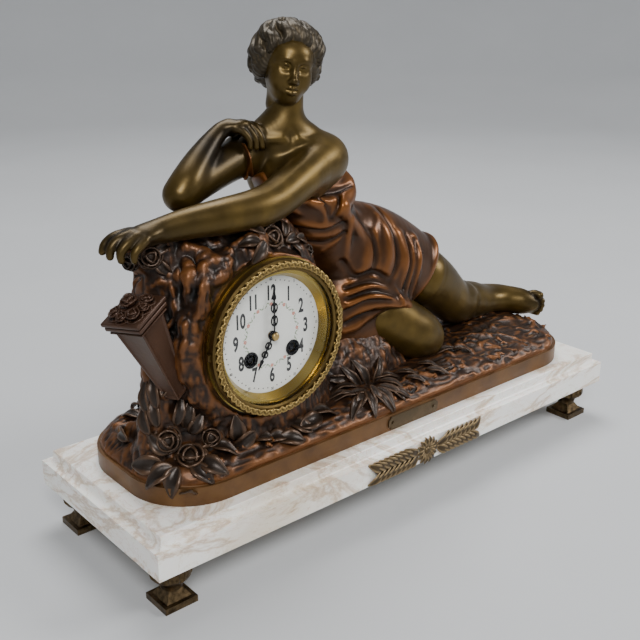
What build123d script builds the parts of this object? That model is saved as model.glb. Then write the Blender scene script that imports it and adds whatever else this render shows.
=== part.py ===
"""Figural mantel clock: a reclining draped figure on a rock that holds a striking drum movement.

Sizes are in millimetres.  The origin lies under the middle of the plinth, on the table.
X runs along the plinth, the dial looks towards -Y and Z points up.
"""
import os
from math import atan2, cos, degrees, hypot, radians, sin, sqrt

from build123d import *

os.makedirs("parts", exist_ok=True)

# Marble plinth
PLINTH_LENGTH = 500.0
PLINTH_DEPTH = 169.0
SLAB_HEIGHT = 20.0
COVE_HEIGHT = 9.0
COVE_INSET = 6.7
COVE_RADIUS = 4.5
MARBLE_ROUND = 0.8

# Feet
FOOT_HEIGHT = 35.0
FOOT_BASE = 26.0
FOOT_BASE_HEIGHT = 5.0
FOOT_STEP = 3.2
FOOT_NECK_RADIUS = 7.6
FOOT_CUP_RADIUS = 14.5
FOOT_PLATE = 33.0
FOOT_PLATE_THICK = 2.6
FOOT_EDGE = 21.0
FOOT_FLUTES = 8
FLUTE_RADIUS = 2.6
STUD_RADIUS = 3.0
STUD_LENGTH = 22.0
STUD_FIT = 0.1

# Gilt mounts on the plinth and the terrace
MOUNT_X = 4.0
LAUREL_LENGTH = 135.0
LAUREL_THICK = 1.6
LAUREL_PAIRS = 6
LEAF_LENGTH = 17.0
LEAF_WIDTH = 5.6
ROSETTE_RADIUS = 11.5
ROSETTE_PROUD = 1.4
ROSETTE_PETALS = 10
PLAQUE_LENGTH = 57.0
PLAQUE_HEIGHT = 11.0
PLAQUE_THICK = 1.2
PLAQUE_NOTCH = 2.4
PLAQUE_PIN_RADIUS = 0.7

# Terrace casting
TERRACE_LENGTH = 460.0
TERRACE_DEPTH = 135.0
TERRACE_CORNER = 50.0
TERRACE_BAND = 14.0
TERRACE_WALL = 8.0
TERRACE_ROOF = 4.0
BAND_LIP = 2.5
MOUND_RISE = 12.0
MOUND_SLOPE = 50.0
BOLT_RADIUS = 3.0
BOLT_HEAD_RADIUS = 6.0
BOLT_HEAD_THICK = 3.0
BOLT_BOSS_RADIUS = 9.0
BOLT_SPACING = 260.0

# Clock axis, dial and hands
CLOCK_X = -126.0
CLOCK_RISE = 103.5
DIAL_FACE = 48.0
DIAL_RADIUS = 45.4
DIAL_THICK = 1.6
DIAL_FOOT_RADIUS = 1.0
DIAL_FOOT_CIRCLE = 34.0
DIAL_FOOT_ANGLES = (90.0, 25.0, 155.0)
CENTRE_HOLE_RADIUS = 3.3
WINDING_ACROSS = 19.0
WINDING_DOWN = 14.5
GROMMET_RADIUS = 6.0
GROMMET_HOLE_RADIUS = 4.0
GROMMET_PROUD = 0.8
HOUR_HAND_REACH = 27.0
MINUTE_HAND_REACH = 39.0
HAND_THICK = 0.7
HAND_GAP = 1.3
HAND_BOSS_RADIUS = 3.6
HAND_WIDTH = 1.5
HAND_HOUR = 7.0
NUT_RADIUS = 2.9
NUT_HEIGHT = 2.2

# Bezel, glass and fixed frame
BEZEL_RADIUS = 57.5
BEZEL_LIP_RADIUS = 50.0
BEZEL_REBATE_RADIUS = 51.5
BEZEL_DEPTH = 8.5
BEZEL_LIP = 2.8
BEZEL_BEADS = 40
BEAD_RADIUS = 2.2
FRAME_RADIUS = 58.3
FRAME_FLANGE = 3.7
SLEEVE_RADIUS = 52.0
SLEEVE_WALL = 1.5
SLEEVE_LENGTH = 18.0
SLEEVE_FIT = 0.15
DOOR_GAP = 0.3
GLASS_THICK = 1.9
GLASS_FIT = 0.08
SIGHT_RADIUS = 43.6
SIGHT_WALL = 0.9
HINGE_REACH = 60.4
HINGE_RADIUS = 2.0
HINGE_PIN_RADIUS = 0.8
HINGE_FIT = 0.05
HINGE_KNUCKLE = 8.0
HINGE_GAP = 0.3
CATCH_REACH = 2.6
CATCH_HEIGHT = 5.0

# Case back
CASE_BACK = 36.0
BACK_RING_RADIUS = 57.0
BACK_RING_THICK = 2.4
BACK_DOOR_RADIUS = 53.5
BACK_DOOR_THICK = 1.6
SOUND_HOLES = 8
SOUND_HOLE_RADIUS = 4.5
SOUND_CIRCLE = 30.0
BACK_HINGE_REACH = 58.6
STRAP_THICK = 1.2
STRAP_WIDTH = 10.0
STRAP_SCREW_RADIUS = 1.2
STRAP_HEAD_RADIUS = 2.2
STRAP_HEAD_THICK = 1.2
SCREW_EDGE = 6.0

# Movement
PLATE_RADIUS = 43.0
PLATE_THICK = 2.0
PLATE_GAP = 24.0
MOTION_GAP = 7.4
PILLAR_CIRCLE = 38.5
PILLAR_RADIUS = 3.0
PILLAR_WAIST = 2.0
PILLAR_ANGLES = (5.0, 62.0, 118.0, 175.0, 270.0)
PILLAR_SCREW_RADIUS = 1.3
PILLAR_HEAD_RADIUS = 2.4
PILLAR_HEAD_THICK = 1.4
LUG_ANGLES = (35.0, 145.0, 285.0)
LUG_WIDTH = 6.0
LUG_THICK = 2.0
LUG_REACH = 3.4
LUG_SCREW_RADIUS = 0.9
LUG_HEAD_RADIUS = 1.6
LUG_HEAD_THICK = 1.0
RUNNING_FIT = 0.06
ARBOR_RADIUS = 1.0
FINE_ARBOR_RADIUS = 0.4
PIVOT_RADIUS = 0.35
WHEEL_THICK = 1.0
PINION_THICK = 2.6
WHEEL_ARMS = 5
ARM_WIDTH = 1.4
RIM_WIDTH = 1.5
HUB_RADIUS = 2.4
CANNON_RADIUS = 1.7
HOUR_PIPE_RADIUS = 2.6

# Tooth counts and modules, from the barrels to the escapement and the fly
BARREL_TEETH = 76
BARREL_MODULE = 0.45
SECOND_LEAVES = 10
SECOND_TEETH = 66
SECOND_MODULE = 0.40
CENTRE_LEAVES = 10
CENTRE_TEETH = 84
CENTRE_MODULE = 0.29
THIRD_LEAVES = 7
THIRD_TEETH = 80
THIRD_MODULE = 0.28
ESCAPE_LEAVES = 6
ESCAPE_TEETH = 36
ESCAPE_RADIUS = 8.6
PIN_LEAVES = 10
PIN_TEETH = 60
PIN_MODULE = 0.30
FLY_LEAVES = 7
CANNON_LEAVES = 12
MINUTE_TEETH = 36
CANNON_MODULE = 0.50
MINUTE_LEAVES = 10
HOUR_TEETH = 40
THIRD_BEARING = 98.0
PIN_BEARING = 105.5
STRIKE_CLEARANCE = 1.4
FLY_BEARING = 50.0

# Depths of the wheels behind the front plate
BARREL_START = 1.0
BARREL_DEPTH = 13.0
BARREL_RADIUS = 15.4
BARREL_WHEEL_THICK = 2.0
SECOND_WHEEL_DEPTH = 15.5
CENTRE_WHEEL_DEPTH = 18.5
THIRD_WHEEL_DEPTH = 5.0
ESCAPE_WHEEL_DEPTH = 9.0
PIN_WHEEL_DEPTH = 8.0
WINDING_RADIUS = 3.0
WINDING_SQUARE = 4.0
WINDING_RECESS = 0.6
FLY_DEPTH = 12.0
FLY_LENGTH = 10.0
FLY_HALF_WIDTH = 4.5
FLY_THICK = 0.6
LIFT_PINS = 8
LIFT_PIN_CIRCLE = 6.5
LIFT_PIN_RADIUS = 0.4
LIFT_PIN_LENGTH = 1.6

# Escapement, pendulum and strike
PALLET_ABOVE = 12.55
PALLET_GAP = 0.75
PALLET_BEARING = 42.0
PALLET_ARM = 2.0
PALLET_THICK = 1.2
CRUTCH_LENGTH = 40.0
CRUTCH_WIDTH = 1.6
CRUTCH_THICK = 1.2
CRUTCH_DEPTH = 1.0
FORK_WIDTH = 1.0
FORK_FIT = 0.06
COCK_STANDOFF = 2.6
COCK_THICK = 2.0
COCK_HALF_SPAN = 12.0
COCK_HEIGHT = 7.0
COCK_POST_RADIUS = 2.2
PENDULUM_LENGTH = 97.0
PENDULUM_DEPTH = 8.4
ROD_WIDTH = 2.4
ROD_THICK = 1.6
SPRING_LENGTH = 6.0
SPRING_THICK = 0.3
CHOPS_WIDTH = 5.0
CHOPS_HEIGHT = 5.0
CHOPS_GAP = 0.1
BOB_RADIUS = 11.0
BOB_THICK = 7.0
BOB_RIM = 1.6
RATING_NUT_RADIUS = 2.6
RATING_NUT_HEIGHT = 2.0
CHAMBER_HALF_WIDTH = 22.0
CHAMBER_DEPTH = 20.0
BELL_RADIUS = 30.0
BELL_DEPTH = 20.0
BELL_WALL = 1.4
BELL_START = 14.5
BELL_STUD_RADIUS = 1.6
BELL_NUT_RADIUS = 3.6
BELL_NUT_HEIGHT = 3.0
BRACKET_ACROSS = 16.0
BRACKET_DOWN = 20.0
BRACKET_RADIUS = 2.4
BRACKET_THICK = 2.0
HAMMER_ACROSS = -31.0
HAMMER_UP = 22.0
HAMMER_DROP = 22.0
HAMMER_HEAD_RADIUS = 4.2
HAMMER_HEAD_THICK = 5.0
HAMMER_ARM = 1.8
HAMMER_TAIL = 3.4
HAMMER_GAP = 1.0

# Rock, pail and figure
ROCK_RISE = 78.0
ROCK_HALF_LENGTH = 80.0
ROCK_HALF_DEPTH = 43.0
ROCK_BACKSET = -6.0
BOSS_RADIUS = 60.0
BOSS_CLEARANCE = 2.0
SEAT_X = -5.0
SEAT_BACKSET = 12.0
SEAT_HALF_LENGTH = 62.0
SEAT_HALF_DEPTH = 44.0
SEAT_RISE = 54.0
PAIL_TOP = 26.0
PAIL_FOOT = 12.0
PAIL_HEIGHT = 75.0
PAIL_RIM = 5.0
PAIL_RIM_PROUD = 2.0
PAIL_RING_RADIUS = 6.5
PAIL_RING_WIRE = 1.6
PAIL_X = -199.5
PAIL_Y = -33.0
PAIL_LIFT = 52.0
PAIL_LEAN = 17.5
PAIL_LEAN_BACK = -5.7
PAIL_TURN = 20.0
HEAD = 50.0

# Shares of the tooth pitch and module that shape straight flanked teeth with clear backlash
WHEEL_TOOTH_share = 0.40
WHEEL_TIP_share = 0.20
WHEEL_RISE_share = 0.90
WHEEL_ROOT_share = 1.40
LEAF_TOOTH_share = 0.34
LEAF_TIP_share = 0.16
LEAF_RISE_share = 0.70
LEAF_ROOT_share = 1.50
ROOT_SPREAD_share = 1.30

# Heights and depths that follow from the sizes above
SLAB_TOP = FOOT_HEIGHT + SLAB_HEIGHT
PLINTH_TOP = SLAB_TOP + COVE_HEIGHT
BAND_TOP = PLINTH_TOP + TERRACE_BAND
CLOCK_Z = PLINTH_TOP + CLOCK_RISE
FOOT_X = PLINTH_LENGTH / 2 - FOOT_EDGE
FOOT_Y = PLINTH_DEPTH / 2 - FOOT_EDGE
FRONT_PLATE = DIAL_FACE - DIAL_THICK - MOTION_GAP
TRAIN_FRONT = FRONT_PLATE - PLATE_THICK
TRAIN_BACK = TRAIN_FRONT - PLATE_GAP
BACK_PLATE = TRAIN_BACK - PLATE_THICK
FRAME_FRONT = DIAL_FACE + FRAME_FLANGE
DOOR_BACK = FRAME_FRONT + DOOR_GAP
DOOR_FRONT = DOOR_BACK + BEZEL_DEPTH
LIP_BACK = DOOR_FRONT - BEZEL_LIP
GLASS_FRONT = LIP_BACK - GLASS_FIT
GLASS_BACK = GLASS_FRONT - GLASS_THICK
HINGE_DEPTH = FRAME_FRONT + HINGE_RADIUS
SLEEVE_BORE = SLEEVE_RADIUS - SLEEVE_WALL
ROCK_BORE = SLEEVE_RADIUS + SLEEVE_FIT
ON_BASE = (Align.CENTER, Align.CENTER, Align.MIN)


def dial_point(across, up, forward):
    """A point by its place on the dial, as the viewer sees it, and its distance towards the viewer."""
    return Vector(CLOCK_X + across, -forward, CLOCK_Z + up)


def dial_plane(across, up, forward, turn=0.0):
    """A plane level with the dial: x to the viewer's right, less a turn, and z towards the viewer."""
    x_dir = (cos(radians(turn)), 0, sin(radians(turn)))
    return Plane(origin=dial_point(across, up, forward), x_dir=x_dir, z_dir=(0, -1, 0))


def turning_plane(across=0.0, up=0.0):
    """A plane for turned profiles: x outwards from an arbor, y towards the viewer."""
    return Plane(origin=dial_point(across, up, 0.0), x_dir=(1, 0, 0), z_dir=(0, 0, -1))


def arbor_axis(across=0.0, up=0.0):
    """The axis of an arbor that stands square to the dial."""
    return Axis(dial_point(across, up, 0.0), (0, -1, 0))


def train_depth(depth):
    """Distance towards the viewer of a layer counted back from the front plate."""
    return TRAIN_FRONT - depth


def meet(first, reach_first, second, reach_second):
    """The point at given distances from two arbors, on the left of the line from first to second."""
    run = Vector(second[0] - first[0], second[1] - first[1])
    along = (reach_first**2 - reach_second**2 + run.length**2) / (2 * run.length)
    aside = sqrt(reach_first**2 - along**2)
    unit = run.normalized()
    return (first[0] + along * unit.X - aside * unit.Y, first[1] + along * unit.Y + aside * unit.X)


def polar(start, reach, bearing):
    """The point at a distance and bearing from another point."""
    return (start[0] + reach * cos(radians(bearing)), start[1] + reach * sin(radians(bearing)))


def bearing(start, end):
    """The bearing in degrees from one arbor to another."""
    return degrees(atan2(end[1] - start[1], end[0] - start[0]))


def reach(module, first, second):
    """The distance between the arbors of two meshing gears."""
    return module * (first + second) / 2


def tooth_points(teeth, module, shares, tooth_at):
    """Corners of a gear with straight flanked teeth, one of them centred on a bearing."""
    tooth_share, tip_share, rise_share, root_share = shares
    pitch_radius = teeth * module / 2
    tip = pitch_radius + rise_share * module
    root = pitch_radius - root_share * module
    step = 360.0 / teeth
    tip_half = step * tip_share / 2
    root_half = step * tooth_share * ROOT_SPREAD_share / 2
    points = []
    for index in range(teeth):
        middle = tooth_at + index * step
        points.append(polar((0, 0), root, middle - root_half))
        points.append(polar((0, 0), tip, middle - tip_half))
        points.append(polar((0, 0), tip, middle + tip_half))
        points.append(polar((0, 0), root, middle + root_half))
    return points


def wheel_points(teeth, module, tooth_at):
    """Outline of a wheel with a tooth on the given bearing."""
    shares = (WHEEL_TOOTH_share, WHEEL_TIP_share, WHEEL_RISE_share, WHEEL_ROOT_share)
    return tooth_points(teeth, module, shares, tooth_at)


def pinion_points(leaves, module, gap_at):
    """Outline of a pinion with a gap on the given bearing."""
    shares = (LEAF_TOOTH_share, LEAF_TIP_share, LEAF_RISE_share, LEAF_ROOT_share)
    return tooth_points(leaves, module, shares, gap_at + 180.0 / leaves)


def toothed_disc(place, forward, thick, points):
    """A solid toothed disc whose front face is at a distance towards the viewer."""
    with BuildPart() as disc:
        with BuildSketch(dial_plane(place[0], place[1], forward)):
            with BuildLine():
                Polyline(*points, close=True)
            make_face()
        extrude(amount=-thick)
    return disc.part


def crossed_wheel(place, forward, teeth, module, tooth_at):
    """A wheel with crossed out arms, as wide as its teeth ask."""
    rim_inside = teeth * module / 2 - WHEEL_ROOT_share * module - RIM_WIDTH
    with BuildPart() as wheel:
        with BuildSketch(dial_plane(place[0], place[1], forward)):
            with BuildLine():
                Polyline(*wheel_points(teeth, module, tooth_at), close=True)
            make_face()
            Circle(rim_inside, mode=Mode.SUBTRACT)
            Circle(HUB_RADIUS)
            with PolarLocations(rim_inside / 2, WHEEL_ARMS):
                Rectangle(rim_inside + RIM_WIDTH, ARM_WIDTH)
        extrude(amount=-WHEEL_THICK)
    return wheel.part


def arbor(place, radius):
    """An arbor with a pivot in each plate."""
    with BuildPart() as shaft:
        with BuildSketch(dial_plane(place[0], place[1], FRONT_PLATE)):
            Circle(PIVOT_RADIUS)
        extrude(amount=-(PLATE_GAP + 2 * PLATE_THICK))
        with BuildSketch(dial_plane(place[0], place[1], TRAIN_FRONT - RUNNING_FIT)):
            Circle(radius)
        extrude(amount=-(PLATE_GAP - 2 * RUNNING_FIT))
    return shaft.part


# Arbor places on the dial, worked out from the tooth counts
centre = (0.0, 0.0)
going_barrel_at = (WINDING_ACROSS, -WINDING_DOWN)
strike_barrel_at = (-WINDING_ACROSS, -WINDING_DOWN)
barrel_reach = reach(BARREL_MODULE, BARREL_TEETH, SECOND_LEAVES)
second_reach = reach(SECOND_MODULE, SECOND_TEETH, CENTRE_LEAVES)
going_second_at = meet(centre, second_reach, going_barrel_at, barrel_reach)
strike_across, strike_up = meet(
    centre, second_reach + STRIKE_CLEARANCE, going_barrel_at, barrel_reach)
strike_second_at = (-strike_across, strike_up)
third_at = polar(centre, reach(CENTRE_MODULE, CENTRE_TEETH, THIRD_LEAVES), THIRD_BEARING)
escape_reach = reach(THIRD_MODULE, THIRD_TEETH, ESCAPE_LEAVES)
escape_at = (0.0, third_at[1] + sqrt(escape_reach**2 - third_at[0]**2))
pallet_at = (0.0, escape_at[1] + PALLET_ABOVE)
pin_wheel_at = polar(strike_second_at, reach(SECOND_MODULE, SECOND_TEETH, PIN_LEAVES), PIN_BEARING)
fly_at = polar(pin_wheel_at, reach(PIN_MODULE, PIN_TEETH, FLY_LEAVES), FLY_BEARING)
hammer_at = (HAMMER_ACROSS, HAMMER_UP)
minute_reach = reach(CANNON_MODULE, CANNON_LEAVES, MINUTE_TEETH)
hour_module = 2 * minute_reach / (MINUTE_LEAVES + HOUR_TEETH)
minute_at = (0.0, -minute_reach)
pillar_places = [polar(centre, PILLAR_CIRCLE, angle) for angle in PILLAR_ANGLES]
lug_screw_places = [polar(centre, PLATE_RADIUS - LUG_REACH / 2, angle) for angle in LUG_ANGLES]
pivot_places = (going_second_at, strike_second_at, third_at, escape_at, pin_wheel_at, fly_at)

# Marble plinth with a cove round its top and blind sockets for the feet
bolt_places = [(-BOLT_SPACING / 2, 0.0), (BOLT_SPACING / 2, 0.0)]
foot_places = [(x, y) for x in (-FOOT_X, FOOT_X) for y in (-FOOT_Y, FOOT_Y)]
stud_into_plinth = STUD_LENGTH / 2
with BuildPart() as plinth:
    with BuildSketch(Plane.XY.offset(FOOT_HEIGHT)):
        Rectangle(PLINTH_LENGTH, PLINTH_DEPTH)
    extrude(amount=SLAB_HEIGHT)
    with BuildSketch(Plane.XY.offset(SLAB_TOP)):
        Rectangle(PLINTH_LENGTH - 2 * COVE_INSET, PLINTH_DEPTH - 2 * COVE_INSET)
    extrude(amount=COVE_HEIGHT)
    ledge = plinth.edges().filter_by_position(Axis.Z, SLAB_TOP, SLAB_TOP)
    inner_ledge = ledge.filter_by(
        lambda edge: edge.length < PLINTH_LENGTH and abs(edge.length - PLINTH_DEPTH) > COVE_INSET
    )
    fillet(inner_ledge, radius=COVE_RADIUS)
    fillet(plinth.edges().group_by(Axis.Z)[-1], radius=MARBLE_ROUND)
    with BuildSketch(Plane.XY.offset(FOOT_HEIGHT)):
        with Locations(*foot_places):
            Circle(STUD_RADIUS + STUD_FIT)
    extrude(amount=stud_into_plinth + STUD_FIT, mode=Mode.SUBTRACT)
    with BuildSketch(Plane.XY.offset(FOOT_HEIGHT)):
        with Locations(*bolt_places):
            Circle(BOLT_RADIUS + STUD_FIT)
    extrude(amount=SLAB_HEIGHT + COVE_HEIGHT, mode=Mode.SUBTRACT)
plinth.part.label = "marble_plinth"
export_step(plinth.part, "parts/marble_plinth.step")

# One cast foot: stepped square base, waisted neck and fluted cup under a square plate
cup_bottom = FOOT_BASE_HEIGHT + FOOT_STEP + FOOT_NECK_RADIUS / 2
cup_top = FOOT_HEIGHT - FOOT_PLATE_THICK
with BuildPart() as foot:
    with BuildSketch(Plane.XY):
        Rectangle(FOOT_BASE, FOOT_BASE)
    extrude(amount=FOOT_BASE_HEIGHT)
    with BuildSketch(Plane.XY.offset(FOOT_BASE_HEIGHT)):
        Rectangle(FOOT_BASE - 2 * FOOT_STEP, FOOT_BASE - 2 * FOOT_STEP)
    with BuildSketch(Plane.XY.offset(cup_bottom)):
        Rectangle(FOOT_NECK_RADIUS * sqrt(2), FOOT_NECK_RADIUS * sqrt(2))
    loft()
    with BuildSketch(Plane.XZ):
        with BuildLine():
            start = (0, cup_bottom)
            waist = (FOOT_NECK_RADIUS, cup_bottom)
            brim = (FOOT_CUP_RADIUS, cup_top)
            Line(start, waist)
            Spline(waist, (FOOT_CUP_RADIUS, (cup_bottom + cup_top) / 2), brim, tangents=((0, 1), (0, 1)))
            Polyline(brim, (0, cup_top), start)
        make_face()
    revolve(axis=Axis.Z)
    with PolarLocations(FOOT_CUP_RADIUS + FLUTE_RADIUS / 2, FOOT_FLUTES):
        with Locations((0, 0, cup_bottom)):
            Cylinder(FLUTE_RADIUS, cup_top - cup_bottom, align=ON_BASE, mode=Mode.SUBTRACT)
    with BuildSketch(Plane.XY.offset(cup_top)):
        Rectangle(FOOT_PLATE, FOOT_PLATE)
    extrude(amount=FOOT_PLATE_THICK)
    with BuildSketch(Plane.XY.offset(FOOT_HEIGHT)):
        Circle(STUD_RADIUS)
    extrude(amount=-(STUD_LENGTH - stud_into_plinth), mode=Mode.SUBTRACT)

with BuildPart() as feet:
    with Locations(*foot_places):
        add(foot.part)
feet.part.label = "feet"
export_step(feet.part, "parts/feet.step")

with BuildPart() as foot_studs:
    with BuildSketch(Plane.XY.offset(FOOT_HEIGHT + stud_into_plinth)):
        with Locations(*foot_places):
            Circle(STUD_RADIUS)
    extrude(amount=-STUD_LENGTH)
foot_studs.part.label = "foot_studs"
export_step(foot_studs.part, "parts/foot_studs.step")

# Laurel spray and rosette on the front of the plinth
spray_half = LAUREL_LENGTH / 2 - LEAF_LENGTH / 2
leaf_angle_shares = (0.30, -0.30)
front_middle = (MOUNT_X, -PLINTH_DEPTH / 2, FOOT_HEIGHT + SLAB_HEIGHT / 2)
front_face = Plane(origin=front_middle, x_dir=(1, 0, 0), z_dir=(0, -1, 0))
with BuildPart() as laurel_mount:
    with BuildSketch(front_face):
        Rectangle(2 * spray_half, LEAF_WIDTH / 2)
        for side in (-1, 1):
            for pair in range(LAUREL_PAIRS):
                place = side * (ROSETTE_RADIUS + (spray_half - ROSETTE_RADIUS) * pair / (LAUREL_PAIRS - 1))
                for lean_share in leaf_angle_shares:
                    lift = LEAF_LENGTH * lean_share / 2
                    with Locations(Location((place, side * lift, 0), (0, 0, 180.0 * lean_share / 2))):
                        Ellipse(LEAF_LENGTH / 2, LEAF_WIDTH / 2)
    extrude(amount=LAUREL_THICK)
    with BuildSketch(front_face):
        Circle(ROSETTE_RADIUS * 2 / 3)
        with PolarLocations(ROSETTE_RADIUS * 2 / 3, ROSETTE_PETALS):
            Circle(ROSETTE_RADIUS / 3)
    extrude(amount=LAUREL_THICK + ROSETTE_PROUD)
laurel_mount.part.label = "laurel_mount"
export_step(laurel_mount.part, "parts/laurel_mount.step")

# Terrace casting: a plain band, a mounded ground and a hollow underside with two bolt bosses
cavity_height = TERRACE_BAND - TERRACE_ROOF
with BuildPart() as terrace:
    with BuildSketch(Plane.XY.offset(PLINTH_TOP)):
        RectangleRounded(TERRACE_LENGTH, TERRACE_DEPTH, TERRACE_CORNER)
    extrude(amount=TERRACE_BAND)
    with BuildSketch(Plane.XY.offset(BAND_TOP)):
        RectangleRounded(
            TERRACE_LENGTH - 2 * BAND_LIP, TERRACE_DEPTH - 2 * BAND_LIP, TERRACE_CORNER - BAND_LIP
        )
    extrude(amount=MOUND_RISE, taper=MOUND_SLOPE)
    with BuildSketch(Plane.XY.offset(PLINTH_TOP)):
        RectangleRounded(
            TERRACE_LENGTH - 2 * TERRACE_WALL, TERRACE_DEPTH - 2 * TERRACE_WALL, TERRACE_CORNER - TERRACE_WALL
        )
        with Locations(*bolt_places):
            Circle(BOLT_BOSS_RADIUS, mode=Mode.SUBTRACT)
    extrude(amount=cavity_height, mode=Mode.SUBTRACT)
    with BuildSketch(Plane.XY.offset(PLINTH_TOP)):
        with Locations(*bolt_places):
            Circle(BOLT_RADIUS)
    extrude(amount=cavity_height, mode=Mode.SUBTRACT)
terrace.part.label = "terrace"
export_step(terrace.part, "parts/terrace.step")

with BuildPart() as terrace_bolts:
    with BuildSketch(Plane.XY.offset(FOOT_HEIGHT)):
        with Locations(*bolt_places):
            Circle(BOLT_RADIUS)
    extrude(amount=SLAB_HEIGHT + COVE_HEIGHT + cavity_height)
    with BuildSketch(Plane.XY.offset(FOOT_HEIGHT)):
        with Locations(*bolt_places):
            RegularPolygon(BOLT_HEAD_RADIUS, 6)
    extrude(amount=-BOLT_HEAD_THICK)
terrace_bolts.part.label = "terrace_bolts"
export_step(terrace_bolts.part, "parts/terrace_bolts.step")

# Plain title plaque with notched corners, pinned to the band
plaque_middle = (MOUNT_X, -TERRACE_DEPTH / 2, PLINTH_TOP + TERRACE_BAND / 2)
plaque_face = Plane(origin=plaque_middle, x_dir=(1, 0, 0), z_dir=(0, -1, 0))
pin_across = PLAQUE_LENGTH / 2 - 2 * PLAQUE_NOTCH
with BuildPart() as title_plaque:
    with BuildSketch(plaque_face):
        Rectangle(PLAQUE_LENGTH, PLAQUE_HEIGHT)
        with GridLocations(PLAQUE_LENGTH, PLAQUE_HEIGHT, 2, 2):
            Circle(PLAQUE_NOTCH, mode=Mode.SUBTRACT)
        with Locations((-pin_across, 0), (pin_across, 0)):
            Circle(PLAQUE_PIN_RADIUS, mode=Mode.SUBTRACT)
    extrude(amount=PLAQUE_THICK)
title_plaque.part.label = "title_plaque"
export_step(title_plaque.part, "parts/title_plaque.step")

with BuildPart() as plaque_pins:
    with BuildSketch(plaque_face):
        with Locations((-pin_across, 0), (pin_across, 0)):
            Circle(PLAQUE_PIN_RADIUS)
    extrude(amount=PLAQUE_THICK)
    with Locations(plaque_face.offset(PLAQUE_THICK)):
        with Locations((-pin_across, 0), (pin_across, 0)):
            Cylinder(2 * PLAQUE_PIN_RADIUS, PLAQUE_PIN_RADIUS, align=ON_BASE)
plaque_pins.part.label = "plaque_pins"
export_step(plaque_pins.part, "parts/plaque_pins.step")

# Fixed bezel frame: flange on the rock, sleeve into its bore, lugs for the movement and hinge knuckles
knuckle_end = HINGE_KNUCKLE / 2 + HINGE_GAP
hinge_plane = Plane(origin=dial_point(HINGE_REACH, 0.0, HINGE_DEPTH), x_dir=(1, 0, 0), z_dir=(0, 0, 1))
with BuildPart() as bezel_frame:
    with BuildSketch(turning_plane()):
        with BuildLine():
            Polyline(
                (SLEEVE_BORE, DIAL_FACE - SLEEVE_LENGTH),
                (SLEEVE_RADIUS, DIAL_FACE - SLEEVE_LENGTH),
                (SLEEVE_RADIUS, DIAL_FACE),
                (FRAME_RADIUS, DIAL_FACE),
                (FRAME_RADIUS, FRAME_FRONT),
                (SLEEVE_BORE, FRAME_FRONT),
                close=True,
            )
        make_face()
    revolve(axis=arbor_axis())
    lug_length = SLEEVE_RADIUS - SLEEVE_WALL / 2 - PLATE_RADIUS + LUG_REACH
    with BuildSketch(dial_plane(0.0, 0.0, TRAIN_FRONT)):
        for angle in LUG_ANGLES:
            middle = polar(centre, PLATE_RADIUS - LUG_REACH + lug_length / 2, angle)
            with Locations(Location((middle[0], middle[1], 0), (0, 0, angle))):
                Rectangle(lug_length, LUG_WIDTH)
    extrude(amount=-LUG_THICK)
    with BuildSketch(dial_plane(0.0, 0.0, TRAIN_FRONT)):
        with Locations(*lug_screw_places):
            Circle(LUG_SCREW_RADIUS)
    extrude(amount=-LUG_THICK, mode=Mode.SUBTRACT)
    with Locations(hinge_plane):
        for end in (-1, 1):
            with Locations((0, 0, end * (knuckle_end + HINGE_KNUCKLE / 4))):
                Cylinder(HINGE_RADIUS, HINGE_KNUCKLE / 2)
                Box(2 * HINGE_RADIUS, HINGE_DEPTH - DIAL_FACE, HINGE_KNUCKLE / 2,
                    align=(Align.CENTER, Align.MIN, Align.CENTER))
            with Locations((HINGE_RADIUS, HINGE_RADIUS, end * (knuckle_end + HINGE_KNUCKLE / 4))):
                Box(HINGE_REACH + HINGE_RADIUS - SLEEVE_RADIUS, FRAME_FLANGE, HINGE_KNUCKLE / 2,
                    align=(Align.MAX, Align.MIN, Align.CENTER))
    with Locations(hinge_plane):
        Cylinder(HINGE_PIN_RADIUS, 4 * HINGE_KNUCKLE, mode=Mode.SUBTRACT)
    frame_screw_middle = dial_point(0.0, 0.0, DIAL_FACE - SCREW_EDGE)
    with BuildSketch(Plane(origin=frame_screw_middle, x_dir=(0, 1, 0), z_dir=(1, 0, 0))):
        Circle(STRAP_SCREW_RADIUS)
    extrude(amount=FRAME_RADIUS, both=True, mode=Mode.SUBTRACT)
bezel_frame.part.label = "bezel_frame"
export_step(bezel_frame.part, "parts/bezel_frame.step")

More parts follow.
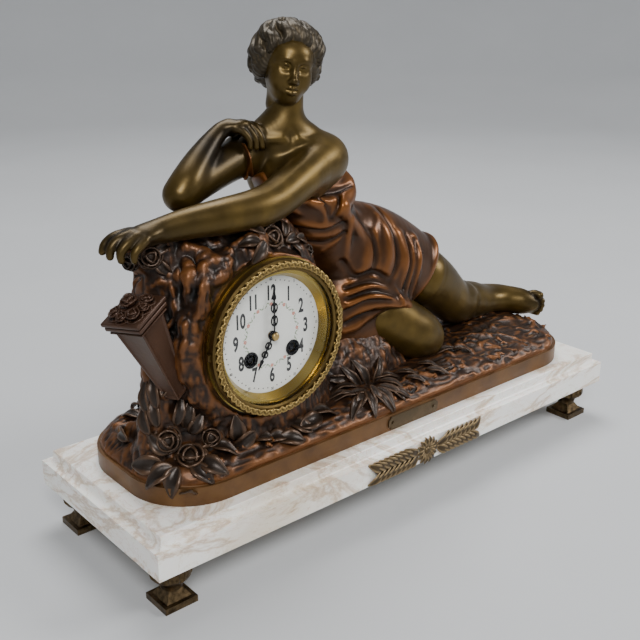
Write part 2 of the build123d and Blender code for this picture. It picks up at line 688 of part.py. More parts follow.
# Hinged bezel: a turned ring with a rebate for the glass, a row of garland beads and a thumb lug
bead_circle = (BEZEL_LIP_RADIUS + BEZEL_RADIUS) / 2
with BuildPart() as bezel:
    with BuildSketch(turning_plane()):
        with BuildLine():
            Polyline(
                (BEZEL_REBATE_RADIUS, DOOR_BACK),
                (BEZEL_RADIUS, DOOR_BACK),
                (BEZEL_RADIUS, LIP_BACK),
                (BEZEL_RADIUS - BEAD_RADIUS / 2, DOOR_FRONT - BEAD_RADIUS / 2),
                (BEZEL_LIP_RADIUS + BEAD_RADIUS / 2, DOOR_FRONT - BEAD_RADIUS / 2),
                (BEZEL_LIP_RADIUS, LIP_BACK + BEAD_RADIUS / 2),
                (BEZEL_LIP_RADIUS, LIP_BACK),
                (BEZEL_REBATE_RADIUS, LIP_BACK),
                close=True,
            )
        make_face()
    revolve(axis=arbor_axis())
    with Locations(dial_plane(0.0, 0.0, DOOR_FRONT - BEAD_RADIUS)):
        with PolarLocations(bead_circle, BEZEL_BEADS):
            Sphere(BEAD_RADIUS)
    with Locations(hinge_plane):
        Cylinder(HINGE_RADIUS, HINGE_KNUCKLE)
        Box(HINGE_REACH - BEZEL_REBATE_RADIUS - HINGE_RADIUS, HINGE_RADIUS, HINGE_KNUCKLE,
            align=(Align.MAX, Align.MAX, Align.CENTER))
        Cylinder(HINGE_PIN_RADIUS + HINGE_FIT, 2 * HINGE_KNUCKLE, mode=Mode.SUBTRACT)
    with Locations(dial_point(-BEZEL_RADIUS, 0.0, (DOOR_BACK + LIP_BACK) / 2)):
        Box(2 * CATCH_REACH, CATCH_REACH, CATCH_HEIGHT)
bezel.part.label = "bezel"
export_step(bezel.part, "parts/bezel.step")

with BuildPart() as bezel_hinge_pin:
    with Locations(hinge_plane):
        Cylinder(HINGE_PIN_RADIUS, 2 * knuckle_end + HINGE_KNUCKLE)
bezel_hinge_pin.part.label = "bezel_hinge_pin"
export_step(bezel_hinge_pin.part, "parts/bezel_hinge_pin.step")

with BuildPart() as bezel_glass:
    with BuildSketch(dial_plane(0.0, 0.0, GLASS_FRONT)):
        Circle(BEZEL_REBATE_RADIUS - GLASS_FIT)
    extrude(amount=-GLASS_THICK)
    chamfer(bezel_glass.edges().group_by(Axis.Y)[0], length=GLASS_THICK / 2)
bezel_glass.part.label = "bezel_glass"
export_step(bezel_glass.part, "parts/bezel_glass.step")

# Sight ring behind the glass: a spun cone with a step, down to the dial
sight_front = GLASS_BACK - GLASS_FIT
sight_back = DIAL_FACE + GROMMET_PROUD / 2
sight_middle = (SIGHT_RADIUS + BEZEL_LIP_RADIUS) / 2
with BuildPart() as sight_ring:
    with BuildSketch(turning_plane()):
        with BuildLine():
            Polyline(
                (SIGHT_RADIUS, sight_back),
                (SIGHT_RADIUS + SIGHT_WALL, sight_back),
                (sight_middle + SIGHT_WALL, sight_front - 2 * SIGHT_WALL),
                (BEZEL_REBATE_RADIUS - GLASS_FIT, sight_front - 2 * SIGHT_WALL),
                (BEZEL_REBATE_RADIUS - GLASS_FIT, sight_front),
                (BEZEL_LIP_RADIUS - SIGHT_WALL, sight_front),
                (BEZEL_LIP_RADIUS - SIGHT_WALL, sight_front - SIGHT_WALL),
                (sight_middle, sight_front - SIGHT_WALL),
                close=True,
            )
        make_face()
    revolve(axis=arbor_axis())
sight_ring.part.label = "sight_ring"
export_step(sight_ring.part, "parts/sight_ring.step")

# Enamel dial with its three feet and brass lined winding holes
winding_places = (going_barrel_at, strike_barrel_at)
dial_foot_places = [polar(centre, DIAL_FOOT_CIRCLE, angle) for angle in DIAL_FOOT_ANGLES]
with BuildPart() as dial:
    with BuildSketch(dial_plane(0.0, 0.0, DIAL_FACE)):
        Circle(DIAL_RADIUS)
        Circle(CENTRE_HOLE_RADIUS, mode=Mode.SUBTRACT)
        with Locations(*winding_places):
            Circle(GROMMET_RADIUS - GROMMET_PROUD, mode=Mode.SUBTRACT)
    extrude(amount=-DIAL_THICK)
    with BuildSketch(dial_plane(0.0, 0.0, DIAL_FACE - DIAL_THICK)):
        with Locations(*dial_foot_places):
            Circle(DIAL_FOOT_RADIUS)
    extrude(amount=-(MOTION_GAP + PLATE_THICK))
dial.part.label = "dial"
export_step(dial.part, "parts/dial.step")

with BuildPart() as dial_grommets:
    with BuildSketch(dial_plane(0.0, 0.0, DIAL_FACE)):
        with Locations(*winding_places):
            Circle(GROMMET_RADIUS)
            Circle(GROMMET_HOLE_RADIUS, mode=Mode.SUBTRACT)
    extrude(amount=GROMMET_PROUD)
    with BuildSketch(dial_plane(0.0, 0.0, DIAL_FACE)):
        with Locations(*winding_places):
            Circle(GROMMET_RADIUS - GROMMET_PROUD)
            Circle(GROMMET_HOLE_RADIUS, mode=Mode.SUBTRACT)
    extrude(amount=-DIAL_THICK)
dial_grommets.part.label = "dial_grommets"
export_step(dial_grommets.part, "parts/dial_grommets.step")

# Movement plates, pillars and screws
plate_holes = [*pivot_places, hammer_at]
with BuildPart() as front_plate:
    with BuildSketch(dial_plane(0.0, 0.0, FRONT_PLATE)):
        Circle(PLATE_RADIUS)
        with Locations(*plate_holes, pallet_at):
            Circle(PIVOT_RADIUS + RUNNING_FIT, mode=Mode.SUBTRACT)
        with Locations(*winding_places):
            Circle(WINDING_RADIUS + RUNNING_FIT, mode=Mode.SUBTRACT)
        Circle(ARBOR_RADIUS + RUNNING_FIT, mode=Mode.SUBTRACT)
        with Locations(*pillar_places):
            Circle(PILLAR_SCREW_RADIUS, mode=Mode.SUBTRACT)
        with Locations(*lug_screw_places):
            Circle(LUG_SCREW_RADIUS, mode=Mode.SUBTRACT)
        with Locations(*dial_foot_places):
            Circle(DIAL_FOOT_RADIUS, mode=Mode.SUBTRACT)
    extrude(amount=-PLATE_THICK)
    with BuildSketch(dial_plane(minute_at[0], minute_at[1], FRONT_PLATE)):
        Circle(ARBOR_RADIUS)
    extrude(amount=MOTION_GAP - WHEEL_THICK)
front_plate.part.label = "front_plate"
export_step(front_plate.part, "parts/front_plate.step")

cock_places = [(-COCK_HALF_SPAN, pallet_at[1]), (COCK_HALF_SPAN, pallet_at[1])]
with BuildPart() as back_plate:
    with BuildSketch(dial_plane(0.0, 0.0, TRAIN_BACK)):
        Circle(PLATE_RADIUS)
        with Locations(*plate_holes, centre, *winding_places):
            Circle(PIVOT_RADIUS + RUNNING_FIT, mode=Mode.SUBTRACT)
        with Locations(pallet_at, hammer_at):
            Circle(2 * ARBOR_RADIUS, mode=Mode.SUBTRACT)
        with Locations(*pillar_places):
            Circle(PILLAR_SCREW_RADIUS, mode=Mode.SUBTRACT)
    extrude(amount=-PLATE_THICK)
back_plate.part.label = "back_plate"
export_step(back_plate.part, "parts/back_plate.step")

pillar_profile_shares = ((1.0, 0.0), (1.0, 0.12), (0.0, 0.30), (0.0, 0.70), (1.0, 0.88), (1.0, 1.0))
with BuildPart() as pillars:
    for place in pillar_places:
        with BuildSketch(turning_plane(place[0], place[1])):
            with BuildLine():
                turned = [
                    (
                        PILLAR_WAIST + (PILLAR_RADIUS - PILLAR_WAIST) * swell_share,
                        TRAIN_BACK + PLATE_GAP * height_share,
                    )
                    for swell_share, height_share in pillar_profile_shares
                ]
                Polyline(
                    (PILLAR_SCREW_RADIUS, TRAIN_BACK), *turned, (PILLAR_SCREW_RADIUS, TRAIN_FRONT), close=True
                )
            make_face()
        revolve(axis=arbor_axis(place[0], place[1]))
pillars.part.label = "pillars"
export_step(pillars.part, "parts/pillars.step")

with BuildPart() as pillar_screws:
    with BuildSketch(dial_plane(0.0, 0.0, FRONT_PLATE)):
        with Locations(*pillar_places):
            Circle(PILLAR_SCREW_RADIUS)
    extrude(amount=-(PLATE_GAP + 2 * PLATE_THICK))
    with BuildSketch(dial_plane(0.0, 0.0, FRONT_PLATE)):
        with Locations(*pillar_places):
            Circle(PILLAR_HEAD_RADIUS)
    extrude(amount=PILLAR_HEAD_THICK)
    with BuildSketch(dial_plane(0.0, 0.0, BACK_PLATE)):
        with Locations(*pillar_places):
            Circle(PILLAR_HEAD_RADIUS)
    extrude(amount=-PILLAR_HEAD_THICK)
pillar_screws.part.label = "pillar_screws"
export_step(pillar_screws.part, "parts/pillar_screws.step")

with BuildPart() as movement_screws:
    with BuildSketch(dial_plane(0.0, 0.0, FRONT_PLATE)):
        with Locations(*lug_screw_places):
            Circle(LUG_SCREW_RADIUS)
    extrude(amount=-(PLATE_THICK + LUG_THICK))
    with BuildSketch(dial_plane(0.0, 0.0, FRONT_PLATE)):
        with Locations(*lug_screw_places):
            Circle(LUG_HEAD_RADIUS)
    extrude(amount=LUG_HEAD_THICK)
movement_screws.part.label = "movement_screws"
export_step(movement_screws.part, "parts/movement_screws.step")

# Going and strike barrels, each with its own winding arbor
barrel_wheel_depth = BARREL_START + BARREL_DEPTH - BARREL_WHEEL_THICK
barrel_mesh_depth = barrel_wheel_depth + BARREL_WHEEL_THICK / 2


def pinion(place, middle_depth, leaves, module, gap_at):
    """A pinion whose leaves are centred on a layer behind the front plate."""
    front = train_depth(middle_depth - PINION_THICK / 2)
    return toothed_disc(place, front, PINION_THICK, pinion_points(leaves, module, gap_at))


def barrel_wheel(place, mate):
    """The toothed rear flange of a barrel, with a tooth towards its mate."""
    points = wheel_points(BARREL_TEETH, BARREL_MODULE, bearing(place, mate))
    return toothed_disc(place, train_depth(barrel_wheel_depth), BARREL_WHEEL_THICK, points)


going_flange = barrel_wheel(going_barrel_at, going_second_at)
with BuildPart() as going_barrel:
    with BuildSketch(dial_plane(going_barrel_at[0], going_barrel_at[1], train_depth(BARREL_START))):
        Circle(BARREL_RADIUS)
    extrude(amount=-(BARREL_DEPTH - BARREL_WHEEL_THICK))
    add(going_flange)
    with BuildSketch(dial_plane(going_barrel_at[0], going_barrel_at[1], train_depth(BARREL_START))):
        Circle(WINDING_RADIUS + RUNNING_FIT)
    extrude(amount=-BARREL_DEPTH, mode=Mode.SUBTRACT)
going_barrel.part.label = "going_barrel"
export_step(going_barrel.part, "parts/going_barrel.step")

strike_flange = barrel_wheel(strike_barrel_at, strike_second_at)
with BuildPart() as strike_barrel:
    with BuildSketch(dial_plane(strike_barrel_at[0], strike_barrel_at[1], train_depth(BARREL_START))):
        Circle(BARREL_RADIUS)
    extrude(amount=-(BARREL_DEPTH - BARREL_WHEEL_THICK))
    add(strike_flange)
    with BuildSketch(dial_plane(strike_barrel_at[0], strike_barrel_at[1], train_depth(BARREL_START))):
        Circle(WINDING_RADIUS + RUNNING_FIT)
    extrude(amount=-BARREL_DEPTH, mode=Mode.SUBTRACT)
strike_barrel.part.label = "strike_barrel"
export_step(strike_barrel.part, "parts/strike_barrel.step")


def winding_arbor(place):
    """A barrel arbor: pivot in the back plate, round body and a key square behind the dial hole."""
    with BuildPart() as shaft:
        with BuildSketch(dial_plane(place[0], place[1], TRAIN_BACK + RUNNING_FIT)):
            Circle(PIVOT_RADIUS)
        extrude(amount=-PLATE_THICK)
        with BuildSketch(dial_plane(place[0], place[1], TRAIN_BACK + RUNNING_FIT)):
            Circle(WINDING_RADIUS)
        extrude(amount=PLATE_GAP + PLATE_THICK)
        with BuildSketch(dial_plane(place[0], place[1], FRONT_PLATE)):
            Rectangle(WINDING_SQUARE, WINDING_SQUARE)
        extrude(amount=MOTION_GAP + DIAL_THICK - WINDING_RECESS)
    return shaft.part


going_shaft = winding_arbor(going_barrel_at)
with BuildPart() as going_winding_arbor:
    add(going_shaft)
going_winding_arbor.part.label = "going_winding_arbor"
export_step(going_winding_arbor.part, "parts/going_winding_arbor.step")

strike_shaft = winding_arbor(strike_barrel_at)
with BuildPart() as strike_winding_arbor:
    add(strike_shaft)
strike_winding_arbor.part.label = "strike_winding_arbor"
export_step(strike_winding_arbor.part, "parts/strike_winding_arbor.step")

# Going train
second_mesh_depth = SECOND_WHEEL_DEPTH + WHEEL_THICK / 2
centre_mesh_depth = CENTRE_WHEEL_DEPTH + WHEEL_THICK / 2
third_mesh_depth = THIRD_WHEEL_DEPTH + WHEEL_THICK / 2
pin_mesh_depth = PIN_WHEEL_DEPTH + WHEEL_THICK / 2
pieces = (
    arbor(going_second_at, ARBOR_RADIUS),
    pinion(
        going_second_at, barrel_mesh_depth, SECOND_LEAVES, BARREL_MODULE, bearing(going_second_at, going_barrel_at)
    ),
    crossed_wheel(going_second_at, train_depth(SECOND_WHEEL_DEPTH), SECOND_TEETH, SECOND_MODULE,
                  bearing(going_second_at, centre)),
)
with BuildPart() as going_second_wheel:
    for piece in pieces:
        add(piece)
going_second_wheel.part.label = "going_second_wheel"
export_step(going_second_wheel.part, "parts/going_second_wheel.step")

hand_stack = 2 * HAND_GAP + 2 * HAND_THICK
pieces = (
    pinion(centre, second_mesh_depth, CENTRE_LEAVES, SECOND_MODULE, bearing(centre, going_second_at)),
    crossed_wheel(
        centre, train_depth(CENTRE_WHEEL_DEPTH), CENTRE_TEETH, CENTRE_MODULE, bearing(centre, third_at)
    ),
)
with BuildPart() as centre_wheel:
    with BuildSketch(dial_plane(0.0, 0.0, TRAIN_BACK + RUNNING_FIT)):
        Circle(PIVOT_RADIUS)
    extrude(amount=-PLATE_THICK)
    with BuildSketch(dial_plane(0.0, 0.0, TRAIN_BACK + RUNNING_FIT)):
        Circle(ARBOR_RADIUS)
    extrude(amount=DIAL_FACE + hand_stack + NUT_HEIGHT / 2 - TRAIN_BACK)
    for piece in pieces:
        add(piece)
centre_wheel.part.label = "centre_wheel"
export_step(centre_wheel.part, "parts/centre_wheel.step")

pieces = (
    arbor(third_at, FINE_ARBOR_RADIUS),
    pinion(third_at, centre_mesh_depth, THIRD_LEAVES, CENTRE_MODULE, bearing(third_at, centre)),
    crossed_wheel(
        third_at, train_depth(THIRD_WHEEL_DEPTH), THIRD_TEETH, THIRD_MODULE, bearing(third_at, escape_at)
    ),
)
with BuildPart() as third_wheel:
    for piece in pieces:
        add(piece)
third_wheel.part.label = "third_wheel"
export_step(third_wheel.part, "parts/third_wheel.step")

# Escape wheel with raked pointed teeth, and the anchor that stands just clear of them
escape_points = []
for index in range(ESCAPE_TEETH):
    tooth_at = index * 360.0 / ESCAPE_TEETH
    escape_points.append(polar(centre, ESCAPE_RADIUS, tooth_at))
    escape_points.append(polar(centre, ESCAPE_RADIUS - RIM_WIDTH, tooth_at - 90.0 / ESCAPE_TEETH))
pieces = (
    arbor(escape_at, FINE_ARBOR_RADIUS),
    pinion(escape_at, third_mesh_depth, ESCAPE_LEAVES, THIRD_MODULE, bearing(escape_at, third_at)),
)
escape_rim = ESCAPE_RADIUS - 2 * RIM_WIDTH
with BuildPart() as escape_wheel:
    for piece in pieces:
        add(piece)
    with BuildSketch(dial_plane(escape_at[0], escape_at[1], train_depth(ESCAPE_WHEEL_DEPTH))):
        with BuildLine():
            Polyline(*escape_points, close=True)
        make_face()
        Circle(escape_rim, mode=Mode.SUBTRACT)
        Circle(HUB_RADIUS)
        with PolarLocations(escape_rim / 2, WHEEL_ARMS):
            Rectangle(escape_rim + RIM_WIDTH, ARM_WIDTH)
    extrude(amount=-WHEEL_THICK)
escape_wheel.part.label = "escape_wheel"
export_step(escape_wheel.part, "parts/escape_wheel.step")

nib_reach = ESCAPE_RADIUS + PALLET_GAP
nib_places = [polar(escape_at, nib_reach, 90.0 + side * PALLET_BEARING) for side in (-1, 1)]
fork_back = BACK_PLATE - PENDULUM_DEPTH - ROD_THICK / 2
crutch_front = BACK_PLATE - CRUTCH_DEPTH
cock_front = crutch_front - CRUTCH_THICK - COCK_STANDOFF / 2
with BuildPart() as pallet_anchor:
    with BuildSketch(dial_plane(pallet_at[0], pallet_at[1], FRONT_PLATE)):
        Circle(PIVOT_RADIUS)
    extrude(amount=-(FRONT_PLATE - cock_front + COCK_THICK))
    with BuildSketch(dial_plane(pallet_at[0], pallet_at[1], TRAIN_FRONT - RUNNING_FIT)):
        Circle(ARBOR_RADIUS)
    extrude(amount=-(TRAIN_FRONT - RUNNING_FIT - cock_front - RUNNING_FIT))
    with BuildSketch(dial_plane(0.0, 0.0, train_depth(ESCAPE_WHEEL_DEPTH))):
        with Locations(pallet_at):
            Circle(HUB_RADIUS)
        for nib in nib_places:
            outward = bearing(escape_at, nib)
            outer = polar(nib, PALLET_ARM, outward)
            with BuildLine():
                Polyline(pallet_at, outer, nib, (pallet_at[0], pallet_at[1] - HUB_RADIUS), close=True)
            make_face()
    extrude(amount=-PALLET_THICK)
    with BuildSketch(dial_plane(pallet_at[0], pallet_at[1], crutch_front)):
        Circle(HUB_RADIUS)
        with Locations((0, -CRUTCH_LENGTH / 2)):
            Rectangle(CRUTCH_WIDTH, CRUTCH_LENGTH)
        with Locations((0, -CRUTCH_LENGTH)):
            Rectangle(ROD_WIDTH + 2 * FORK_FIT + 2 * FORK_WIDTH, 2 * FORK_WIDTH)
    extrude(amount=-CRUTCH_THICK)
    prong_across = ROD_WIDTH / 2 + FORK_FIT + FORK_WIDTH / 2
    with BuildSketch(dial_plane(pallet_at[0], pallet_at[1] - CRUTCH_LENGTH, crutch_front)):
        with Locations((-prong_across, 0), (prong_across, 0)):
            Rectangle(FORK_WIDTH, 2 * FORK_WIDTH)
    extrude(amount=-(crutch_front - fork_back))
pallet_anchor.part.label = "pallet_anchor"
export_step(pallet_anchor.part, "parts/pallet_anchor.step")

# Cock behind the back plate: carries the rear pivot of the anchor and the chops of the suspension
chops_foot = pallet_at[1] + CHOPS_GAP
with BuildPart() as pallet_cock:
    with BuildSketch(dial_plane(0.0, 0.0, BACK_PLATE)):
        with Locations(*cock_places):
            Circle(COCK_POST_RADIUS)
    extrude(amount=-(BACK_PLATE - cock_front))
    with BuildSketch(dial_plane(pallet_at[0], pallet_at[1], cock_front)):
        Rectangle(2 * (COCK_HALF_SPAN + COCK_POST_RADIUS), COCK_HEIGHT)
        Circle(PIVOT_RADIUS + RUNNING_FIT, mode=Mode.SUBTRACT)
    extrude(amount=-COCK_THICK)
    with BuildSketch(dial_plane(0.0, chops_foot + CHOPS_HEIGHT / 2, cock_front - COCK_THICK)):
        Rectangle(CHOPS_WIDTH, CHOPS_HEIGHT)
    extrude(amount=-(cock_front - COCK_THICK - fork_back))
pallet_cock.part.label = "pallet_cock"
export_step(pallet_cock.part, "parts/pallet_cock.step")

# Pendulum: suspension spring and rod, lens shaped bob and rating nut
rod_front = BACK_PLATE - PENDULUM_DEPTH + ROD_THICK / 2
bob_at = (0.0, pallet_at[1] - PENDULUM_LENGTH)
rod_end = PENDULUM_LENGTH + BOB_RADIUS + 2 * RATING_NUT_HEIGHT
with BuildPart() as pendulum_rod:
    with BuildSketch(dial_plane(pallet_at[0], pallet_at[1], rod_front)):
        with Locations((0, -SPRING_LENGTH / 2)):
            Rectangle(SPRING_THICK, SPRING_LENGTH)
        with Locations((0, -(SPRING_LENGTH + rod_end) / 2)):
            Rectangle(ROD_WIDTH, rod_end - SPRING_LENGTH)
    extrude(amount=-ROD_THICK)
pendulum_rod.part.label = "pendulum_rod"
export_step(pendulum_rod.part, "parts/pendulum_rod.step")

bob_middle = BACK_PLATE - PENDULUM_DEPTH
with BuildPart() as pendulum_bob:
    with BuildSketch(turning_plane(bob_at[0], bob_at[1])):
        with BuildLine():
            rim_front = (BOB_RADIUS, bob_middle + BOB_RIM / 2)
            rim_back = (BOB_RADIUS, bob_middle - BOB_RIM / 2)
            crown_front = (0, bob_middle + BOB_THICK / 2)
            crown_back = (0, bob_middle - BOB_THICK / 2)
            Line(crown_back, crown_front)
            Spline(crown_front, rim_front, tangents=((1, 0), (1, -1)))
            Line(rim_front, rim_back)
            Spline(rim_back, crown_back, tangents=((-1, -1), (-1, 0)))
        make_face()
    revolve(axis=arbor_axis(bob_at[0], bob_at[1]))
    with BuildSketch(dial_plane(bob_at[0], bob_at[1], rod_front)):
        Rectangle(ROD_WIDTH, 3 * BOB_RADIUS)
    extrude(amount=-ROD_THICK, mode=Mode.SUBTRACT)
pendulum_bob.part.label = "pendulum_bob"
export_step(pendulum_bob.part, "parts/pendulum_bob.step")

nut_place = dial_point(0.0, bob_at[1] - BOB_RADIUS, bob_middle)
with BuildPart() as rating_nut:
    with Locations(nut_place):
        Cylinder(RATING_NUT_RADIUS, RATING_NUT_HEIGHT, align=(Align.CENTER, Align.CENTER, Align.MAX))
        Box(ROD_WIDTH, ROD_THICK, 3 * RATING_NUT_HEIGHT, mode=Mode.SUBTRACT)
rating_nut.part.label = "rating_nut"
export_step(rating_nut.part, "parts/rating_nut.step")

# Strike train: second wheel, pin wheel with its lifting pins, and the fly
pieces = (
    arbor(strike_second_at, ARBOR_RADIUS),
    pinion(
        strike_second_at, barrel_mesh_depth, SECOND_LEAVES, BARREL_MODULE, bearing(strike_second_at, strike_barrel_at)
    ),
    crossed_wheel(strike_second_at, train_depth(SECOND_WHEEL_DEPTH), SECOND_TEETH, SECOND_MODULE,
                  bearing(strike_second_at, pin_wheel_at)),
)
with BuildPart() as strike_second_wheel:
    for piece in pieces:
        add(piece)
strike_second_wheel.part.label = "strike_second_wheel"
export_step(strike_second_wheel.part, "parts/strike_second_wheel.step")

pieces = (
    arbor(pin_wheel_at, ARBOR_RADIUS),
    pinion(
        pin_wheel_at, second_mesh_depth, PIN_LEAVES, SECOND_MODULE, bearing(pin_wheel_at, strike_second_at)
    ),
    crossed_wheel(
        pin_wheel_at, train_depth(PIN_WHEEL_DEPTH), PIN_TEETH, PIN_MODULE, bearing(pin_wheel_at, fly_at)
    ),
)
with BuildPart() as pin_wheel:
    for piece in pieces:
        add(piece)
    with BuildSketch(dial_plane(pin_wheel_at[0], pin_wheel_at[1], train_depth(PIN_WHEEL_DEPTH))):
        with PolarLocations(LIFT_PIN_CIRCLE + RIM_WIDTH / 2, LIFT_PINS):
            Circle(LIFT_PIN_RADIUS)
    extrude(amount=-(WHEEL_THICK + LIFT_PIN_LENGTH))
pin_wheel.part.label = "pin_wheel"
export_step(pin_wheel.part, "parts/pin_wheel.step")

pieces = (
    arbor(fly_at, FINE_ARBOR_RADIUS),
    pinion(fly_at, pin_mesh_depth, FLY_LEAVES, PIN_MODULE, bearing(fly_at, pin_wheel_at)),
)
with BuildPart() as fly:
    for piece in pieces:
        add(piece)
    with BuildSketch(dial_plane(fly_at[0], fly_at[1], train_depth(FLY_DEPTH))):
        Circle(2 * PIVOT_RADIUS)
        Rectangle(2 * FLY_HALF_WIDTH, FLY_THICK)
    extrude(amount=-FLY_LENGTH)
fly.part.label = "fly"
export_step(fly.part, "parts/fly.step")

# Hammer, bell and bell bracket behind the back plate
bell_front = BACK_PLATE - BELL_START
hammer_head_at = (-(BELL_RADIUS + HAMMER_GAP + HAMMER_HEAD_RADIUS), hammer_at[1] - HAMMER_DROP)
hammer_middle = bell_front - HAMMER_HEAD_THICK / 2
with BuildPart() as hammer:
    with BuildSketch(dial_plane(hammer_at[0], hammer_at[1], FRONT_PLATE)):
        Circle(PIVOT_RADIUS)
    extrude(amount=-PLATE_THICK)
    with BuildSketch(dial_plane(hammer_at[0], hammer_at[1], TRAIN_FRONT - RUNNING_FIT)):
        Circle(ARBOR_RADIUS)
    extrude(amount=-(TRAIN_FRONT - RUNNING_FIT - hammer_middle + HAMMER_ARM / 2))
    tail_at = polar(hammer_at, HAMMER_TAIL / 2, bearing(hammer_at, pin_wheel_at))
    tail_depth = train_depth(PIN_WHEEL_DEPTH + WHEEL_THICK + LIFT_PIN_LENGTH / 2)
    with BuildSketch(dial_plane(0.0, 0.0, tail_depth)):
        with Locations(Location((tail_at[0], tail_at[1], 0), (0, 0, bearing(hammer_at, pin_wheel_at)))):
            Rectangle(HAMMER_TAIL, HAMMER_ARM)
    extrude(amount=-WHEEL_THICK)
    arm_run = hypot(hammer_head_at[0] - hammer_at[0], hammer_head_at[1] - hammer_at[1])
    arm_middle = ((hammer_head_at[0] + hammer_at[0]) / 2, (hammer_head_at[1] + hammer_at[1]) / 2)
    with BuildSketch(dial_plane(0.0, 0.0, hammer_middle + HAMMER_ARM / 2)):
        arm_turn = (0, 0, bearing(hammer_at, hammer_head_at))
        with Locations(Location((arm_middle[0], arm_middle[1], 0), arm_turn)):
            Rectangle(arm_run + HAMMER_ARM, HAMMER_ARM)
    extrude(amount=-HAMMER_ARM)
    with BuildSketch(dial_plane(hammer_head_at[0], hammer_head_at[1], bell_front)):
        Circle(HAMMER_HEAD_RADIUS)
    extrude(amount=-HAMMER_HEAD_THICK)
hammer.part.label = "hammer"
export_step(hammer.part, "parts/hammer.step")

bell_back = bell_front - BELL_DEPTH
with BuildPart() as bell:
    with BuildSketch(turning_plane()):
        with BuildLine():
            mouth_out = (BELL_RADIUS, bell_front)
            mouth_in = (BELL_RADIUS - BELL_WALL, bell_front)
            crown_in = (BELL_STUD_RADIUS, bell_back + BELL_WALL)
            crown_out = (BELL_STUD_RADIUS, bell_back)
            Line(mouth_in, mouth_out)
            Spline(mouth_out, crown_out, tangents=((-BELL_WALL, -BELL_DEPTH), (-1, 0)))
            Line(crown_out, crown_in)
            Spline(crown_in, mouth_in, tangents=((1, 0), (BELL_WALL, BELL_DEPTH)))
        make_face()
    revolve(axis=arbor_axis())
bell.part.label = "bell"
export_step(bell.part, "parts/bell.step")

bracket_at = (BRACKET_ACROSS, -BRACKET_DOWN)
with BuildPart() as bell_bracket:
    with BuildSketch(dial_plane(bracket_at[0], bracket_at[1], BACK_PLATE)):
        Circle(BRACKET_RADIUS)
    extrude(amount=-(BACK_PLATE - bell_front + BRACKET_THICK))
    with BuildSketch(dial_plane(0.0, 0.0, bell_front)):
        middle = (bracket_at[0] / 2, bracket_at[1] / 2)
        with Locations(Location((middle[0], middle[1], 0), (0, 0, bearing(centre, bracket_at)))):
            Rectangle(hypot(*bracket_at) + BRACKET_RADIUS, 2 * BRACKET_RADIUS)
        Circle(BRACKET_RADIUS)
    extrude(amount=-BRACKET_THICK)
    with BuildSketch(dial_plane(0.0, 0.0, bell_front)):
        Circle(BRACKET_RADIUS)
    extrude(amount=-(BELL_DEPTH - BELL_WALL - RUNNING_FIT))
    with BuildSketch(dial_plane(0.0, 0.0, bell_front)):
        Circle(BELL_STUD_RADIUS)
    extrude(amount=-(BELL_DEPTH + BELL_NUT_HEIGHT))
bell_bracket.part.label = "bell_bracket"
export_step(bell_bracket.part, "parts/bell_bracket.step")

with BuildPart() as bell_nut:
    with BuildSketch(dial_plane(0.0, 0.0, bell_back)):
        Circle(BELL_NUT_RADIUS)
        Circle(BELL_STUD_RADIUS, mode=Mode.SUBTRACT)
    extrude(amount=-BELL_NUT_HEIGHT)
bell_nut.part.label = "bell_nut"
export_step(bell_nut.part, "parts/bell_nut.step")

# Motion work between the front plate and the dial
cannon_front = FRONT_PLATE + RUNNING_FIT
minute_front = cannon_front + PINION_THICK
hour_front = minute_front + WHEEL_THICK
cannon_leaves = toothed_disc(centre, minute_front, PINION_THICK,
                             pinion_points(CANNON_LEAVES, CANNON_MODULE, bearing(centre, minute_at)))
with BuildPart() as cannon_pinion:
    add(cannon_leaves)
    with BuildSketch(dial_plane(0.0, 0.0, cannon_front)):
        Circle(CANNON_RADIUS)
    extrude(amount=DIAL_FACE + hand_stack - cannon_front)
    with BuildSketch(dial_plane(0.0, 0.0, cannon_front)):
        Circle(ARBOR_RADIUS)
    extrude(amount=DIAL_FACE + hand_stack - cannon_front, mode=Mode.SUBTRACT)
cannon_pinion.part.label = "cannon_pinion"
export_step(cannon_pinion.part, "parts/cannon_pinion.step")

minute_middle = cannon_front + (PINION_THICK + WHEEL_THICK) / 2
pieces = (
    toothed_disc(minute_at, minute_middle, WHEEL_THICK,
                 wheel_points(MINUTE_TEETH, CANNON_MODULE, bearing(minute_at, centre))),
    toothed_disc(minute_at, hour_front + WHEEL_THICK, hour_front + WHEEL_THICK - minute_middle,
                 pinion_points(MINUTE_LEAVES, hour_module, bearing(minute_at, centre))),
)
with BuildPart() as minute_wheel:
    for piece in pieces:
        add(piece)
    with BuildSketch(dial_plane(minute_at[0], minute_at[1], FRONT_PLATE)):
        Circle(ARBOR_RADIUS + RUNNING_FIT)
    extrude(amount=MOTION_GAP, mode=Mode.SUBTRACT)
minute_wheel.part.label = "minute_wheel"
export_step(minute_wheel.part, "parts/minute_wheel.step")

hour_disc = toothed_disc(centre, hour_front + WHEEL_THICK / 2, WHEEL_THICK,
                         wheel_points(HOUR_TEETH, hour_module, bearing(centre, minute_at)))
hour_hand_back = DIAL_FACE + HAND_GAP
with BuildPart() as hour_wheel:
    add(hour_disc)
    with BuildSketch(dial_plane(0.0, 0.0, hour_front - WHEEL_THICK / 2)):
        Circle(HOUR_PIPE_RADIUS)
    extrude(amount=hour_hand_back + HAND_THICK - hour_front + WHEEL_THICK / 2)
    with BuildSketch(dial_plane(0.0, 0.0, hour_front - WHEEL_THICK)):
        Circle(CANNON_RADIUS + RUNNING_FIT)
    extrude(amount=DIAL_FACE, mode=Mode.SUBTRACT)
hour_wheel.part.label = "hour_wheel"
export_step(hour_wheel.part, "parts/hour_wheel.step")


# Pierced hands: boss, stem, two open scrolls and a leaf shaped tip
hand_scroll_shares = ((0.30, 0.11), (0.55, 0.10))
hand_tip_share = 0.68


